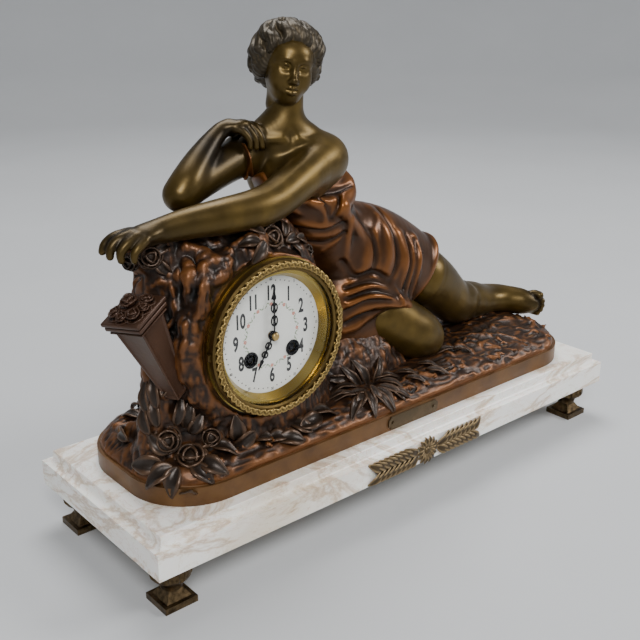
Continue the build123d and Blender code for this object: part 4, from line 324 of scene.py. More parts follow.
white_enamel = enamel_finish("white_enamel", (0.80, 0.80, 0.745), (0.86, 0.86, 0.81), 0.18)
black_enamel = enamel_finish("black_enamel", (0.012, 0.012, 0.013), (0.022, 0.022, 0.024), 0.30)
pink_enamel = enamel_finish("pink_enamel", (0.62, 0.19, 0.13), (0.80, 0.34, 0.25), 0.30)
green_enamel = enamel_finish("green_enamel", (0.16, 0.25, 0.13), (0.30, 0.38, 0.22), 0.30)
clear_glass = enamel_finish("clear_glass", (0.015, 0.016, 0.016), (0.02, 0.021, 0.021), 0.03)
shader_of(clear_glass).inputs["Alpha"].default_value = 0.05

NODE_FINISHES = {
    veined_marble: ("marble_plinth",),
    foot_bronze: ("feet",),
    antique_bronze: ("title_plaque", "plaque_pins", "foot_studs"),
    band_bronze: ("terrace",),
    rock_bronze: ("rock", "flower_pail"),
    gilt: ("bezel",),
    sight_brass: ("sight_ring", "bezel_frame"),
    satin_brass: ("bezel_hinge_pin", "back_ring", "back_cover", "back_hinge_pin", "straps"),
    white_enamel: ("dial",),
    blued_black: ("hour_hand", "minute_hand", "dial_grommets", "going_winding_arbor", "strike_winding_arbor"),
    clear_glass: ("bezel_glass",),
    clock_steel: (
        "terrace_bolts", "strap_screws", "pillar_screws", "movement_screws", "pallet_anchor", "hammer",
        "pendulum_rod", "bell_nut", "rating_nut",
    ),
}
finish_of = {node: finish for finish, nodes in NODE_FINISHES.items() for node in nodes}
for node_name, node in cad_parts.items():
    node.data.materials.clear()
    node.data.materials.append(finish_of.get(node_name, clock_brass))


# Pieces
def dress(piece, finish, body, *nodes):
    """Gives a piece its finish and its body, and lets it stand for solids."""
    piece.data.materials.append(finish)
    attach(piece, body)
    if nodes:
        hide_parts(*nodes)
    return piece


def link_mesh(name, mesh):
    """A mesh as an object at the origin."""
    piece = bpy.data.objects.new(name, mesh)
    bpy.context.scene.collection.objects.link(piece)
    return piece


def as_mesh(name, shape):
    """The worked shape as a mesh; the shape is freed."""
    mesh = bpy.data.meshes.new(name)
    shape.to_mesh(mesh)
    shape.free()
    return mesh


def smooth_min(first, second, blend):
    """The lesser of two distances, with the meeting rounded over the blend."""
    share = np.clip(0.5 + 0.5 * (second - first) / blend, 0.0, 1.0)
    return second + (first - second) * share - blend * share * (1.0 - share)


def spline(stations, steps):
    """Rows along a smooth line through the stations; radii are carried along."""
    rows = np.array(stations, float)
    wide = np.vstack([2 * rows[0] - rows[1], rows, 2 * rows[-1] - rows[-2]])
    t = np.linspace(0.0, 1.0, steps, endpoint=False)[:, None]
    runs = [
        0.5 * (2 * b + (c - a) * t + (2 * a - 5 * b + 4 * c - d) * t**2 + (3 * b - a - 3 * c + d) * t**3)
        for a, b, c, d in zip(wide, wide[1:], wide[2:], wide[3:])
    ]
    return np.vstack(runs + [rows[-1:]])


def speckle(cells):
    """A fixed value from -1 to 1 for each cell of a lattice."""
    mixed = (cells[:, 0] * 73856093) ^ (cells[:, 1] * 19349663) ^ (cells[:, 2] * 83492791)
    mixed = ((mixed ^ (mixed >> 13)) * 1274126177) & 0x7FFFFFFF
    return ((mixed ^ (mixed >> 15)) & 0xFFFF) / 32767.5 - 1.0


def cloud(points, size):
    """Smooth noise from -1 to 1 in lumps of about the size given."""
    place = points / size
    cell = np.floor(place).astype(np.int64)
    t = place - cell
    t = t * t * (3.0 - 2.0 * t)
    total = np.zeros(len(points))
    for corner in itertools.product((0, 1), repeat=3):
        weight = np.prod(np.where(np.array(corner) == 1, t, 1.0 - t), axis=1)
        total += weight * speckle(cell + np.array(corner))
    return total


class Clay:
    """Modelling clay on a grid: rolls and lumps are pressed on or cut away, then the skin is cast."""

    FAR = 60.0
    SIGHT_REACH, SIGHT_STEP = 1400.0, 0.4
    DRAFT_PITCH = 1.6
    HOOP_STEPS = 16

    def __init__(self, low, high, pitch):
        self.low = np.array(low, float)
        self.pitch = pitch * 1.0
        self.lines = [np.arange(a, b, self.pitch, dtype=np.float32) for a, b in zip(low, high)]
        self.field = np.full([len(line) for line in self.lines], self.FAR, np.float32)

    def window(self, low, high):
        """The part of the grid between two corners, and its coordinates."""
        part = tuple(
            slice(*np.searchsorted(line, (a, b))) for line, a, b in zip(self.lines, low, high)
        )
        return part, np.meshgrid(
            *(line[span] for line, span in zip(self.lines, part)), indexing="ij", sparse=True
        )

    def merge(self, part, near, blend, cut):
        """Presses a form on a part of the grid, or cuts it away."""
        have = self.field[part]
        if cut:
            self.field[part] = -smooth_min(-have, near, blend)
        else:
            self.field[part] = smooth_min(have, near, blend)

    def lump(self, centre, radii, turn=(0, 0, 0), blend=4.0, cut=False):
        """An egg with three half lengths, turned by degrees about the axes."""
        centre, radii = np.array(centre, float), np.array(radii, float)
        reach = radii.max() + 2 * blend + 2 * self.pitch
        part, grid = self.window(centre - reach, centre + reach)
        turned = np.array(Euler([math.radians(a) for a in turn]).to_matrix())
        local = [sum((grid[j] - centre[j]) * turned[j, i] for j in range(3)) for i in range(3)]
        share = np.sqrt(sum((a / r) ** 2 for a, r in zip(local, radii)))
        slope = np.sqrt(sum((a / r**2) ** 2 for a, r in zip(local, radii)))
        near = share * (share - 1.0) / np.maximum(slope, 1e-4)
        self.merge(part, near.astype(np.float32), blend, cut)

    def roll(self, stations, blend=4.0, stretch=(1, 1, 1), cut=False, steps=6):
        """A tapering roll through stations of place and radius; stretch narrows it along an axis."""
        path = spline(stations, steps)
        path[:, 3] = np.maximum(path[:, 3], 0.3)
        stretch = np.array(stretch, float)
        reach = path[:, 3].max() + 2 * blend + 2 * self.pitch
        part, grid = self.window(path[:, :3].min(0) - reach, path[:, :3].max(0) + reach)
        lines = [axis.ravel() for axis in grid]
        near = np.full([len(line) for line in lines], self.FAR, np.float32)
        for start, end in zip(path, path[1:]):
            low = np.minimum(start, end)[:3] - reach
            high = np.maximum(start, end)[:3] + reach
            inner = tuple(slice(*np.searchsorted(line, (a, b))) for line, a, b in zip(lines, low, high))
            spans = (line[span] for line, span in zip(lines, inner))
            local = np.meshgrid(*spans, indexing="ij", sparse=True)
            axis = (end - start)[:3] * stretch
            offsets = [(local[i] - start[i]) * stretch[i] for i in range(3)]
            along = sum(offsets[i] * axis[i] for i in range(3)) / max(axis @ axis, 1e-9)
            along = np.clip(along, 0.0, 1.0)
            square = sum((offsets[i] - along * axis[i]) ** 2 for i in range(3))
            far = np.sqrt(square) - (start[3] + along * (end[3] - start[3]))
            near[inner] = np.minimum(near[inner], far)
        self.merge(part, near, blend, cut)

    def add(self, other, blend):
        """Presses on another clay worked on the same grid."""
        self.field = smooth_min(self.field, other.field, blend)

    def hoop(self, centre, first, second, radius, blend):
        """A rolled hem round a limb: an oval with two half axes, uneven as cloth is."""
        rows = []
        for step in range(self.HOOP_STEPS + 1):
            angle = 2 * math.pi * step / self.HOOP_STEPS
            place = centre + math.cos(angle) * np.array(first) + math.sin(angle) * np.array(second)
            rows.append((*place, radius * (1.0 + 0.25 * math.sin(3.0 * angle + 1.0))))
        self.roll(rows, blend=blend, steps=3)

    def trim(self, point, normal, blend=1.0):
        """Cuts away what lies beyond a plane."""
        grid = np.meshgrid(*self.lines, indexing="ij", sparse=True)
        beyond = sum((grid[i] - point[i]) * normal[i] for i in range(3))
        self.field = -smooth_min(-self.field, -beyond.astype(np.float32), blend)

    def press(self, distance, blend):
        """Presses on a form given as a function of the coordinates, negative inside."""
        grid = np.meshgrid(*self.lines, indexing="ij", sparse=True)
        self.field = smooth_min(self.field, distance(*grid).astype(np.float32), blend)

    def carve(self, distance):
        """Cuts away a form given as a function of the coordinates, negative inside."""
        grid = np.meshgrid(*self.lines, indexing="ij", sparse=True)
        self.field = np.maximum(self.field, -distance(*grid)).astype(np.float32)

    def at(self, points):
        """Distance out of the clay at points; far away outside the grid."""
        index = np.rint((np.atleast_2d(points) - self.low) / self.pitch).astype(int)
        inside = np.all((index >= 1) & (index < np.array(self.field.shape) - 1), axis=1)
        index = np.where(inside[:, None], index, 1)
        return np.where(inside, self.field[tuple(index.T)], self.FAR)

    def struck(self, start, direction):
        """Where a line of sight first meets the clay, or None."""
        run = np.arange(0.0, self.SIGHT_REACH, self.SIGHT_STEP)
        points = start + run[:, None] * direction
        hits = np.flatnonzero(self.at(points) < 0.0)
        return points[hits[0]] if len(hits) else None

    def seen(self, pixel):
        """Where the line of sight through a pixel of the photograph meets the clay, or None."""
        return self.struck(EYE, sight(pixel))

    def outward(self, point):
        """Unit direction out of the clay at a point."""
        step = 2.0 * self.pitch
        slope = np.array(
            [self.at(point + step * axis)[0] - self.at(point - step * axis)[0] for axis in np.eye(3)], float
        )
        return slope / max(np.linalg.norm(slope), 1e-6)

    def fold(self, pixels, width, blend=None, cut=False, lift=0.0):
        """A fold of cloth through pixels of the photograph, laid on the clay; cut makes a furrow."""
        places = [self.seen(pixel) for pixel in pixels]
        self.laid([p for p in places if p is not None], width, blend, cut, lift)

    def fold_behind(self, places, width):
        """A fold laid on the far side, through places along X and Z."""
        hits = [self.struck(np.array((x, 200.0, z)), np.array((0.0, -1.0, 0.0))) for x, z in places]
        self.laid([p for p in hits if p is not None], width, None, cut=False, lift=0.0)

    def laid(self, places, width, blend, cut, lift):
        """A roll through places on the clay, thinner at its ends, lifted out of it or sunk."""
        if len(places) < 2:
            return
        share = np.sin(np.linspace(0.18, 0.86, len(places)) * math.pi) ** 0.5
        stations = [
            (*(place + self.outward(place) * lift), width * s) for place, s in zip(places, share)
        ]
        self.roll(stations, blend=blend or 0.9 * width, cut=cut)

    def skin(self):
        """Points in millimetres and quads of the clay's surface."""
        reach = 4.0 * self.pitch
        for axis in range(3):
            edge = [slice(None)] * 3
            for end in (0, -1):
                edge[axis] = end
                self.field[tuple(edge)] = reach
        grid = openvdb.FloatGrid(background=reach)
        grid.copyFromArray(np.clip(self.field, -reach, reach))
        points, quads = grid.convertToQuads(isovalue=0.0)
        return points * self.pitch + self.low, quads


PULL = 0.6


def relax(points, edges, times):
    """Points moved towards the middle of their neighbours along the edges."""
    first, second = edges.T
    count = np.bincount(first, minlength=len(points)) + np.bincount(second, minlength=len(points))
    moved = points.astype(float)
    for _ in range(times):
        total = np.stack([
            np.bincount(first, moved[second, i], len(points))
            + np.bincount(second, moved[first, i], len(points))
            for i in range(3)
        ], axis=1)
        moved = (1.0 - PULL) * moved + PULL * total / np.maximum(count, 1)[:, None]
    return moved


def surface_normals(points, quads):
    """Unit directions out of the surface at its points."""
    across = points[quads[:, 2]] - points[quads[:, 0]]
    other = points[quads[:, 3]] - points[quads[:, 1]]
    face = np.cross(across, other)
    total = np.zeros_like(points)
    for corner in range(4):
        for i in range(3):
            total[:, i] += np.bincount(quads[:, corner], face[:, i], len(points))
    return total / np.maximum(np.linalg.norm(total, axis=1), 1e-9)[:, None]


# How much lower the wear value is made round given spots, so that the colour there comes out darker.
SPOT_DARKENING = 0.65


def mark_wear(mesh, points, flat, normals, depth, dark_spots=()):
    """Marks how far points stand out of the evened form: ridges above 0, hollows below, and lower still round
    the given dark spots.
    """
    wear = np.clip(np.sum((points - flat) * normals, axis=1) / depth, -1.0, 1.0)
    # Each given spot lowers the wear value, and so darkens the colour, over its reach.
    for middle, reach in dark_spots:
        wear -= SPOT_DARKENING * np.exp(-(np.linalg.norm(points - middle, axis=1) / reach) ** 2)
    mesh.attributes.new("wear", "FLOAT", "POINT").data.foreach_set("value", wear.astype(np.float32))


def cast(
    clay, name, finish, *nodes, grain=None, depth=0.8, spread=22, place=None, even=1, dark_spots=()
):
    """The clay's skin as a piece of the case; grain raises it, and wear marks its ridges and hollows."""
    points, quads = clay.skin()
    edges = np.concatenate([quads[:, (i, (i + 1) % 4)] for i in range(4)])
    points = relax(points, edges, even)
    if grain:
        points = points + surface_normals(points, quads) * grain(points)[:, None]
    if place:
        points = place(points)
    mesh = bpy.data.meshes.new(name)
    mesh.from_pydata((points * MM).tolist(), [], quads.tolist())
    mark_wear(mesh, points, relax(points, edges, spread), surface_normals(points, quads), depth, dark_spots)
    mesh.shade_smooth()
    return dress(link_mesh(name, mesh), finish, "case", *nodes)


def tarnish_at(clay, *spots):
    """Places on the clay, met through pixels of the photograph, that stay dark over their reach."""
    return [(clay.seen(pixel), reach) for pixel, reach in spots]


# Figure: bare neck, chest and arms
SKIN_STATIONS = {
    "neck": ((-74, 4, 292, 17), (-73, 2, 306, 13.5), (-71, 1, 320, 12.2), (-70, 2, 336, 12.5)),
    "shoulders": (
        (-104, 14, 286, 12.5), (-90, 8, 297, 12.0), (-74, 5, 302, 14.0), (-59, -2, 295, 13.0),
        (-46, -9, 281, 13.5),
    ),
    "left_arm": (
        (-43, -9, 279, 17.5), (-61, -17, 275.5, 16.9), (-86, -26, 268, 15.2), (-110, -32, 260, 14.3),
        (-130, -34, 257, 13.7), (-156, -32, 255.5, 12.5), (-182, -28, 254, 10.4), (-204, -26, 252, 8.2),
        (-214, -26, 251, 7.4),
    ),
    "right_upper": ((-102, 14, 284, 15.0), (-122, 8, 281, 14.0), (-146, 1, 275, 12.8), (-168, -5, 268, 11.8)),
    "right_fore": (
        (-170, -5, 268, 11.6), (-163, -4, 275, 12.0), (-151, 1, 285, 10.6), (-140, 5, 294, 8.6),
        (-132, 7, 300.5, 7.0), (-125, 8, 305, 6.3), (-119, 8, 307.5, 5.6),
    ),
}
# Darker spots on the left hand, the right hand and the right forearm, each a pixel and a reach.
HAND_DARK_SPOTS = (((126, 237), 44.0), ((243, 131), 26.0), ((208, 150), 20.0))
FINGERS = (
    ((-219, -21, 253, 4.2), (-229, -19.5, 252, 3.6), (-236, -19.5, 248.5, 3.1), (-238.5, -19.5, 244, 2.6)),
    (
        (-221, -26, 253, 4.3), (-230, -25.5, 251, 3.7),
        (-235.5, -25.5, 246.5, 3.2), (-236.5, -25.5, 241.5, 2.6),
    ),
    (
        (-220, -30.5, 252, 4.1), (-227.5, -31.5, 249, 3.5),
        (-232, -31.5, 244.5, 3.0), (-232, -31.5, 239.5, 2.5),
    ),
    (
        (-216, -34.5, 250, 3.6), (-222.5, -36.5, 246.5, 3.0),
        (-225.5, -36.5, 242.5, 2.7), (-225.5, -36.5, 239, 2.2),
    ),
    ((-203, -19, 250, 4.3), (-211, -14.5, 248, 3.9), (-218, -13.5, 244.5, 3.3), (-221.5, -13.5, 241.5, 2.7)),
    ((-106, 6, 308, 3.3), (-99, 3, 306.5, 3.0), (-94, -1, 300, 2.6), (-92, -2, 293, 2.2)),
    ((-110, 4, 308.5, 3.4), (-104, 1, 306.5, 3.1), (-99.5, -3, 300, 2.7), (-98, -4, 292.5, 2.3)),
    ((-114, 2, 308, 3.3), (-109, -1, 306, 3.0), (-105, -4.5, 299.5, 2.6), (-104, -5, 292.5, 2.2)),
    ((-118, 0, 306.5, 3.0), (-114, -3, 304.5, 2.7), (-110.5, -5.5, 299, 2.3), (-110, -6, 293.5, 1.9)),
    ((-122, 12, 303, 3.4), (-112, 13, 302, 3.0), (-105, 11, 300, 2.6), (-101, 9, 297, 2.3)),
)
body_clay = Clay((-248, -64, 226), (-16, 46, 338), 0.85)
body_clay.lump((-66, 4, 270), (34, 22, 32), turn=(0, 14, -23), blend=6)
for name in ("shoulders", "neck"):
    body_clay.roll(SKIN_STATIONS[name], blend=9)
body_clay.lump((-62, -15, 266), (15, 14, 15), blend=8)
body_clay.lump((-84, -8, 268), (15, 14, 15), blend=8)
body_clay.roll(((-77, -12, 297, 1.2), (-64, -15, 294, 1.6), (-54, -13, 292, 1.2)), blend=5)
body_clay.roll(((-81, -10, 297, 1.2), (-90, -5, 297, 1.5), (-98, 2, 295, 1.2)), blend=5)
body_clay.lump((-79, -15, 299), (3.4, 3.4, 4.4), blend=4, cut=True)
body_clay.roll(SKIN_STATIONS["right_upper"], blend=6)
body_clay.roll(SKIN_STATIONS["right_fore"], blend=3)
body_clay.roll(SKIN_STATIONS["left_arm"], blend=6)
body_clay.lump((-48, -11, 277), (18, 16.5, 16.5), turn=(0, 25, -15), blend=9)
body_clay.lump((-211, -27, 251), (12, 9.5, 5.6), turn=(-8, -6, 4), blend=4)
body_clay.lump((-114, 5, 307.5), (11.0, 8.5, 4.6), turn=(-15, -8, -15), blend=4)
for finger in FINGERS:
    body_clay.roll(finger, blend=1.6)

# Figure: the bare legs
NEAR_LEG = ((30, 0, 134, 25), (48, -6, 120, 25), (60, -10, 112, 24), (70, -12, 106, 20.5))
NEAR_CALF = ((62, 2, 112, 19), (82, 18, 104, 17), (104, 34, 97, 13))
FAR_LEG = (
    (92, 12, 152, 27), (108, 11, 142, 24), (124, 11, 128, 22), (140, 13, 116, 20.5), (154, 18, 111, 19.5),
    (170, 22, 108, 18.5), (186, 25, 105, 16.5), (200, 26, 102, 13.8), (212, 22, 100, 12.6),
)
FAR_INSTEP = ((174, 15, 107, 12), (194, 15, 104.5, 11.5), (212, 11, 102.5, 11.5), (225, 1, 101, 10.5))
FAR_FOOT = (
    (204, 27, 101, 12.5), (213, 20, 101.5, 12.8), (223, 8, 100.5, 12.8), (230, -3, 99.5, 11.4),
    (234, -8, 98.5, 9.0),
)
TOES = (
    (238.5, -13, 108.5, 4.3), (240.5, -15, 102.8, 3.5), (241, -15, 98, 3.3), (240.5, -14, 93.6, 3.1),
    (239, -12, 89.8, 2.9),
)
# A darker spot on the toes, a pixel and a reach.
TOE_DARK_SPOT = ((538, 298), 16.0)

near_clay = Clay((2, -46, 76), (118, 56, 162), 1.0)
near_clay.roll(NEAR_LEG, blend=5)
near_clay.roll(NEAR_CALF, blend=3)
near_clay.lump((66, -16, 112), (15, 12, 13), turn=(0, 30, 0), blend=6)

far_clay = Clay((72, -26, 78), (247, 52, 188), 0.85)
far_clay.roll(FAR_LEG, blend=5)
far_clay.lump((147, 8, 121), (15, 14, 14), turn=(0, 30, 0), blend=7)
far_clay.lump((171, 18, 113), (19, 13, 11), turn=(0, 12, 20), blend=9)
far_clay.roll(FAR_FOOT, blend=9, stretch=(1.25, 1, 1))
far_clay.roll(FAR_INSTEP, blend=8)
far_clay.lump((209, 31, 94), (7, 8, 7), blend=5)
far_clay.lump((204, 17, 104), (4, 4, 4), blend=5)
for x, y, z, radius in TOES:
    root, knuckle, tip = (x - 7, y + 10, z * 0.7 + 29.0), (x - 3, y + 4, z), (x - 0.5, y - 1.5, z - 0.8)
    far_clay.roll([(*place, radius) for place in (root, knuckle, tip)], blend=0.8)

# Figure: the drapery
CLOTH_STATIONS = {
    "bodice": (
        (-8, 12, 198, 31), (-23, 7, 214, 29.5), (-45, 2, 240, 33), (-60, 1, 262, 35), (-67, 3, 277, 34),
    ),
    "skirt": (
        (-14, 11, 208, 31), (20, 13, 186, 43), (54, 14, 171, 39.5), (78, 12, 158, 34), (86, 12, 153, 31),
    ),
    "near_thigh": ((-8, 10, 156, 33), (12, 4, 144, 32), (28, 0, 134, 30)),
    "swag": (
        (-58, 28, 266, 8), (-36, 22, 264, 10), (-21, 4, 259, 10), (-23, -11, 250, 9), (-38, -23, 243, 7),
    ),
    "under": ((-20, 14, 140, 30), (12, 14, 124, 32), (44, 18, 116, 26), (70, 22, 106, 16)),
}
SKIRT_FOLDS = (
    (4.2, ((347, 215), (362, 236), (365, 262), (359, 276))),
    (4.6, ((369, 207), (385, 230), (389, 255), (384, 277))),
    (4.6, ((385, 207), (400, 233), (406, 261), (401, 286))),
    (4.4, ((397, 210), (412, 236), (415, 263), (407, 291))),
    (4.6, ((404, 216), (416, 238), (419, 262), (411, 296))),
    (3.4, ((352, 222), (347, 245), (345, 270))),
    (3.0, ((377, 214), (375, 236), (376, 262))),
)
THIGH_FOLDS = (
    (3.6, ((348, 283), (369, 277), (386, 281), (396, 293))),
    (3.8, ((348, 293), (372, 286), (390, 290), (403, 300))),
    (3.8, ((349, 304), (374, 296), (393, 299), (405, 305))),
    (3.6, ((347, 317), (364, 309), (384, 305), (400, 306))),
    (3.6, ((345, 331), (356, 326), (368, 317), (382, 310))),
)
SKIRT_FURROWS = (
    (2.6, ((357, 214), (373, 236), (376, 262), (370, 278))),
    (2.8, ((378, 208), (393, 232), (398, 258), (392, 280))),
    (2.8, ((391, 209), (406, 234), (411, 262), (404, 288))),
    (3.0, ((405, 214), (416, 240), (418, 264), (410, 296))),
    (3.4, ((343, 262), (355, 277), (375, 273), (392, 284), (400, 296))),
    (2.6, ((346, 288), (370, 281), (388, 286), (398, 296))),
    (2.6, ((347, 299), (372, 291), (391, 294), (403, 302))),
    (2.6, ((346, 311), (368, 302), (390, 302), (402, 305))),
    (2.4, ((345, 324), (358, 317), (374, 310))),
)
BODICE_FOLDS = (
    (5.0, ((289, 196), (312, 188), (335, 185), (350, 178), (354, 171))),
    (3.6, ((305, 186), (325, 180), (345, 172), (350, 164))),
    (4.4, ((268, 216), (295, 223), (320, 226), (340, 220), (348, 207))),
    (3.6, ((290, 231), (315, 235), (338, 230), (351, 214))),
    (2.6, ((334, 198), (333, 210), (326, 220))),
    (2.4, ((345, 192), (342, 206), (336, 218))),
    (2.2, ((312, 201), (322, 210), (326, 221))),
    (2.4, ((322, 251), (338, 238), (350, 224))),
    (2.2, ((282, 206), (300, 213), (316, 218))),
)
BODICE_FURROWS = (
    (2.4, ((292, 201), (315, 194), (338, 191), (352, 185))),
    (2.0, ((275, 222), (300, 228), (325, 231), (344, 222))),
    (1.6, ((339, 196), (338, 208), (332, 218))),
    (1.6, ((318, 198), (328, 208), (330, 218))),
    (2.0, ((300, 240), (325, 243), (345, 232))),
)
BACK_FOLD_WIDTH, BACK_FOLD_COUNT = 4.0, 6
BACK_FOLD = ((-62, 16, 262, -15), (-44, 18, 226, -14), (-26, 20, 180, -12), (-16, 21, 138, -8))
NEAR_EDGE = ((366, 326), (384, 312), (404, 308))
STRAP_FOLDS = (
    (5.2, ((228, 141), (232, 160), (237, 179))),
    (4.8, ((236, 143), (239, 160), (244, 177))),
    (4.2, ((243, 147), (246, 160), (250, 174))),
)
# A darker spot on the strap, below the right hand, a pixel and a reach.
STRAP_DARK_SPOT = ((240, 158), 26.0)

CLOTH_LOW, CLOTH_HIGH, CLOTH_PITCH = (-112, -62, 76), (138, 66, 304), 1.05
cloth_clay = Clay(CLOTH_LOW, CLOTH_HIGH, CLOTH_PITCH)
cloth_clay.roll(CLOTH_STATIONS["bodice"], blend=6, stretch=(1, 1.28, 1))
cloth_clay.lump((-62, -17, 263), (17, 15.5, 16), blend=8)
cloth_clay.lump((-84, -10, 264), (17, 15.5, 16), blend=8)
cloth_clay.trim((-80, -22, 258), (0.15, -0.62, 0.77), blend=2.0)
cloth_clay.trim((-35, 0, 262), (0.75, 0.10, 0.65), blend=2.0)
cloth_clay.trim((-70, 20, 270), (-0.15, 0.35, 0.92), blend=2.0)
cloth_clay.roll(CLOTH_STATIONS["swag"], blend=5)
near_cloth = Clay(CLOTH_LOW, CLOTH_HIGH, CLOTH_PITCH)
near_cloth.roll(CLOTH_STATIONS["near_thigh"], blend=8)
inner_hem, middle_hem, outer_hem = (near_clay.seen(pixel) for pixel in NEAR_EDGE)
along_leg = np.cross(outer_hem - middle_hem, inner_hem - middle_hem)
along_leg *= np.sign(along_leg @ (NEAR_LEG[-1][:3] - middle_hem)) / np.linalg.norm(along_leg)
near_cloth.trim(middle_hem, along_leg, blend=2.5)
skirt_cloth = Clay(CLOTH_LOW, CLOTH_HIGH, CLOTH_PITCH)
skirt_cloth.roll(CLOTH_STATIONS["skirt"], blend=9, stretch=(1, 1.18, 1))
skirt_cloth.roll(CLOTH_STATIONS["under"], blend=10, stretch=(1, 1.1, 1))
skirt_cloth.trim((78, 11, 165), (0.80, 0.0, -0.60), blend=2.5)
skirt_cloth.hoop((75, 11, 167), (0, 25, 0), (17.5, 0, 23.5), 3.4, 4.0)
for part_cloth in (near_cloth, skirt_cloth):
    cloth_clay.add(part_cloth, 7.0)
for width, pixels in BODICE_FOLDS + SKIRT_FOLDS:
    cloth_clay.fold(pixels, 1.5 * width, blend=0.7 * width, lift=-0.9 * width)
for width, pixels in THIGH_FOLDS:
    cloth_clay.fold(pixels, 1.2 * width, blend=0.6 * width, lift=-0.5 * width)
for width, pixels in BODICE_FURROWS + SKIRT_FURROWS:
    cloth_clay.fold(pixels, 0.8 * width, blend=width, cut=True)
for width, pixels in STRAP_FOLDS:
    places = [body_clay.seen(pixel) for pixel in pixels]
    cloth_clay.laid(places, width, 0.5 * width, cut=False, lift=0.0)
for fold in range(BACK_FOLD_COUNT):
    places = [(x + x_step * fold, z + z_step * fold) for x, x_step, z, z_step in BACK_FOLD]
    cloth_clay.fold_behind(places, BACK_FOLD_WIDTH)
cloth_clay.trim((0, 0, GROUND_Z + 1), (0, 0, -1))

# Figure: the head, worked upright and facing front, then set on the neck
HEAD_PLACE = np.array((-70.5, 0.5, 346.0))
HEAD_SCALE = 1.06
FACE_TURN = math.radians(-23.0)
HEAD_TILT = math.radians(10.0)
face_front = np.array((math.sin(FACE_TURN), -math.cos(FACE_TURN), 0.0))
level_side = np.array((math.cos(FACE_TURN), math.sin(FACE_TURN), 0.0))
face_side = math.cos(HEAD_TILT) * level_side - math.sin(HEAD_TILT) * np.array((0, 0, 1.0))
face_up = math.cos(HEAD_TILT) * np.array((0, 0, 1.0)) + math.sin(HEAD_TILT) * level_side


def on_neck(points):
    """From the upright head (side, front, up) to its place on the figure."""
    return HEAD_PLACE + HEAD_SCALE * points @ np.stack([face_side, face_front, face_up])


UPPER_LID = ((2.7, 15.9, 0.2, 0.45), (4.5, 17.3, 2.0, 0.75), (6.8, 17.3, 2.5, 0.75), (9.8, 14.8, 0.5, 0.45))
LOWER_LID = ((2.8, 15.8, 0.0, 0.35), (4.9, 16.9, -1.5, 0.5), (7.2, 16.7, -1.6, 0.5), (9.6, 14.8, 0.2, 0.35))
UPPER_LIP = (
    (-4.8, 17.3, -13.0, 0.6), (-1.7, 19.7, -12.0, 1.15), (0, 19.8, -12.4, 1.1), (1.7, 19.7, -12.0, 1.15),
    (4.8, 17.3, -13.0, 0.6),
)
LOWER_LIP = ((-4.0, 17.6, -14.4, 0.7), (0, 19.4, -15.3, 1.5), (4.0, 17.6, -14.4, 0.7))
LIP_LINE = ((-3.9, 18.9, -13.4, 0.3), (0, 20.9, -13.7, 0.4), (3.9, 18.9, -13.4, 0.3))
head_clay = Clay((-22, -26, -30), (22, 26, 28), 0.5)
head_clay.lump((0, -3, 5), (17, 21, 19), blend=5)
head_clay.lump((0, 4, -5), (14.6, 15.2, 18.5), blend=6)
head_clay.lump((0, 9.5, -18.5), (7.4, 7.2, 5.6), blend=6)
head_clay.lump((0, 9, 9), (12.5, 8.6, 8), blend=6)
head_clay.roll(((0, -3, -14, 10.5), (0, -4, -25, 10.0)), blend=4)
for side in (-1, 1):
    head_clay.lump((side * 7.6, 11.6, -7), (6.2, 5.6, 7), blend=5)
    brow = ((side * 2.5, 17.2, 4.6, 1.5), (side * 6.5, 16.8, 5.8, 1.5), (side * 11, 13.4, 4.2, 1.2))
    head_clay.roll(brow, blend=3)
    head_clay.lump((side * 6.2, 20.2, 0.9), (4.9, 3.6, 3.0), blend=2.4, cut=True)
    head_clay.lump((side * 6.2, 13.9, 0.5), (3.9, 3.4, 3.0), blend=0.5)
    for lid, blend in ((UPPER_LID, 0.5), (LOWER_LID, 0.6)):
        head_clay.roll([(side * x, y, z, radius) for x, y, z, radius in lid], blend=blend)
    head_clay.lump((side * 6.2, 18.0, 0.5), (0.95, 1.2, 0.95), blend=0.3, cut=True)
    head_clay.lump((side * 2.3, 19.4, -8.0), (1.7, 2.2, 1.6), blend=1.6)
    head_clay.lump((side * 15.4, -2, -2), (2.4, 4.5, 6), turn=(-10, 0, 0), blend=1.5)
head_clay.roll(((0, 17.6, 4.0, 1.7), (0, 19.2, -1.5, 1.7), (0, 21.2, -6.4, 2.2)), blend=2.6)
head_clay.lump((0, 21.3, -7.3), (2.2, 2.4, 2.1), blend=1.8)
head_clay.lump((0, 15.8, -13.2), (6.4, 3.6, 4.2), blend=4)
head_clay.roll(UPPER_LIP, blend=1.0)
head_clay.roll(LOWER_LIP, blend=1.0)
head_clay.roll(LIP_LINE, blend=1.0, cut=True)

HAIR_CENTRE = np.array((0.0, -4.5, 9.5))
HAIR_RADII = np.array((24.0, 23.5, 20.5))


def hair_way(bearing_deg, rise_deg):
    """A direction from the middle of the hair, by its bearing from the front and its rise."""
    bearing, rise = math.radians(bearing_deg), math.radians(rise_deg)
    level = math.cos(rise)
    return np.array((math.sin(bearing) * level, math.cos(bearing) * level, math.sin(rise)))


HAIRLINE = ((0, 29), (18, 25), (38, 12), (58, -5), (80, -25), (100, -38), (130, -52), (180, -58))
CROWN = hair_way(180, 48)
hair_clay = Clay((-34, -38, -30), (34, 32, 38), 0.55)
hair_clay.lump(HAIR_CENTRE + (0, -1.5, 0), HAIR_RADII - (1.5, 2.5, 1.0), blend=4)
for side in (-1, 1):
    hair_clay.lump((side * 17.0, -5, -1), (6.5, 11, 10), blend=4)
hair_clay.lump((0, -17, -6), (16, 9, 13), blend=5)
hair_clay.lump((0, 22, -12), (15.0, 17, 20.5), blend=1.5, cut=True)


def on_hair(way, lift):
    """A place above the head or the hair, whichever stands farther out along a direction."""
    way = way / np.linalg.norm(way)
    hits = [clay.struck(HAIR_CENTRE + 60.0 * way, -way) for clay in (head_clay, hair_clay)]
    reach = max(np.linalg.norm(hit - HAIR_CENTRE) for hit in hits if hit is not None)
    return HAIR_CENTRE + (reach + lift) * way


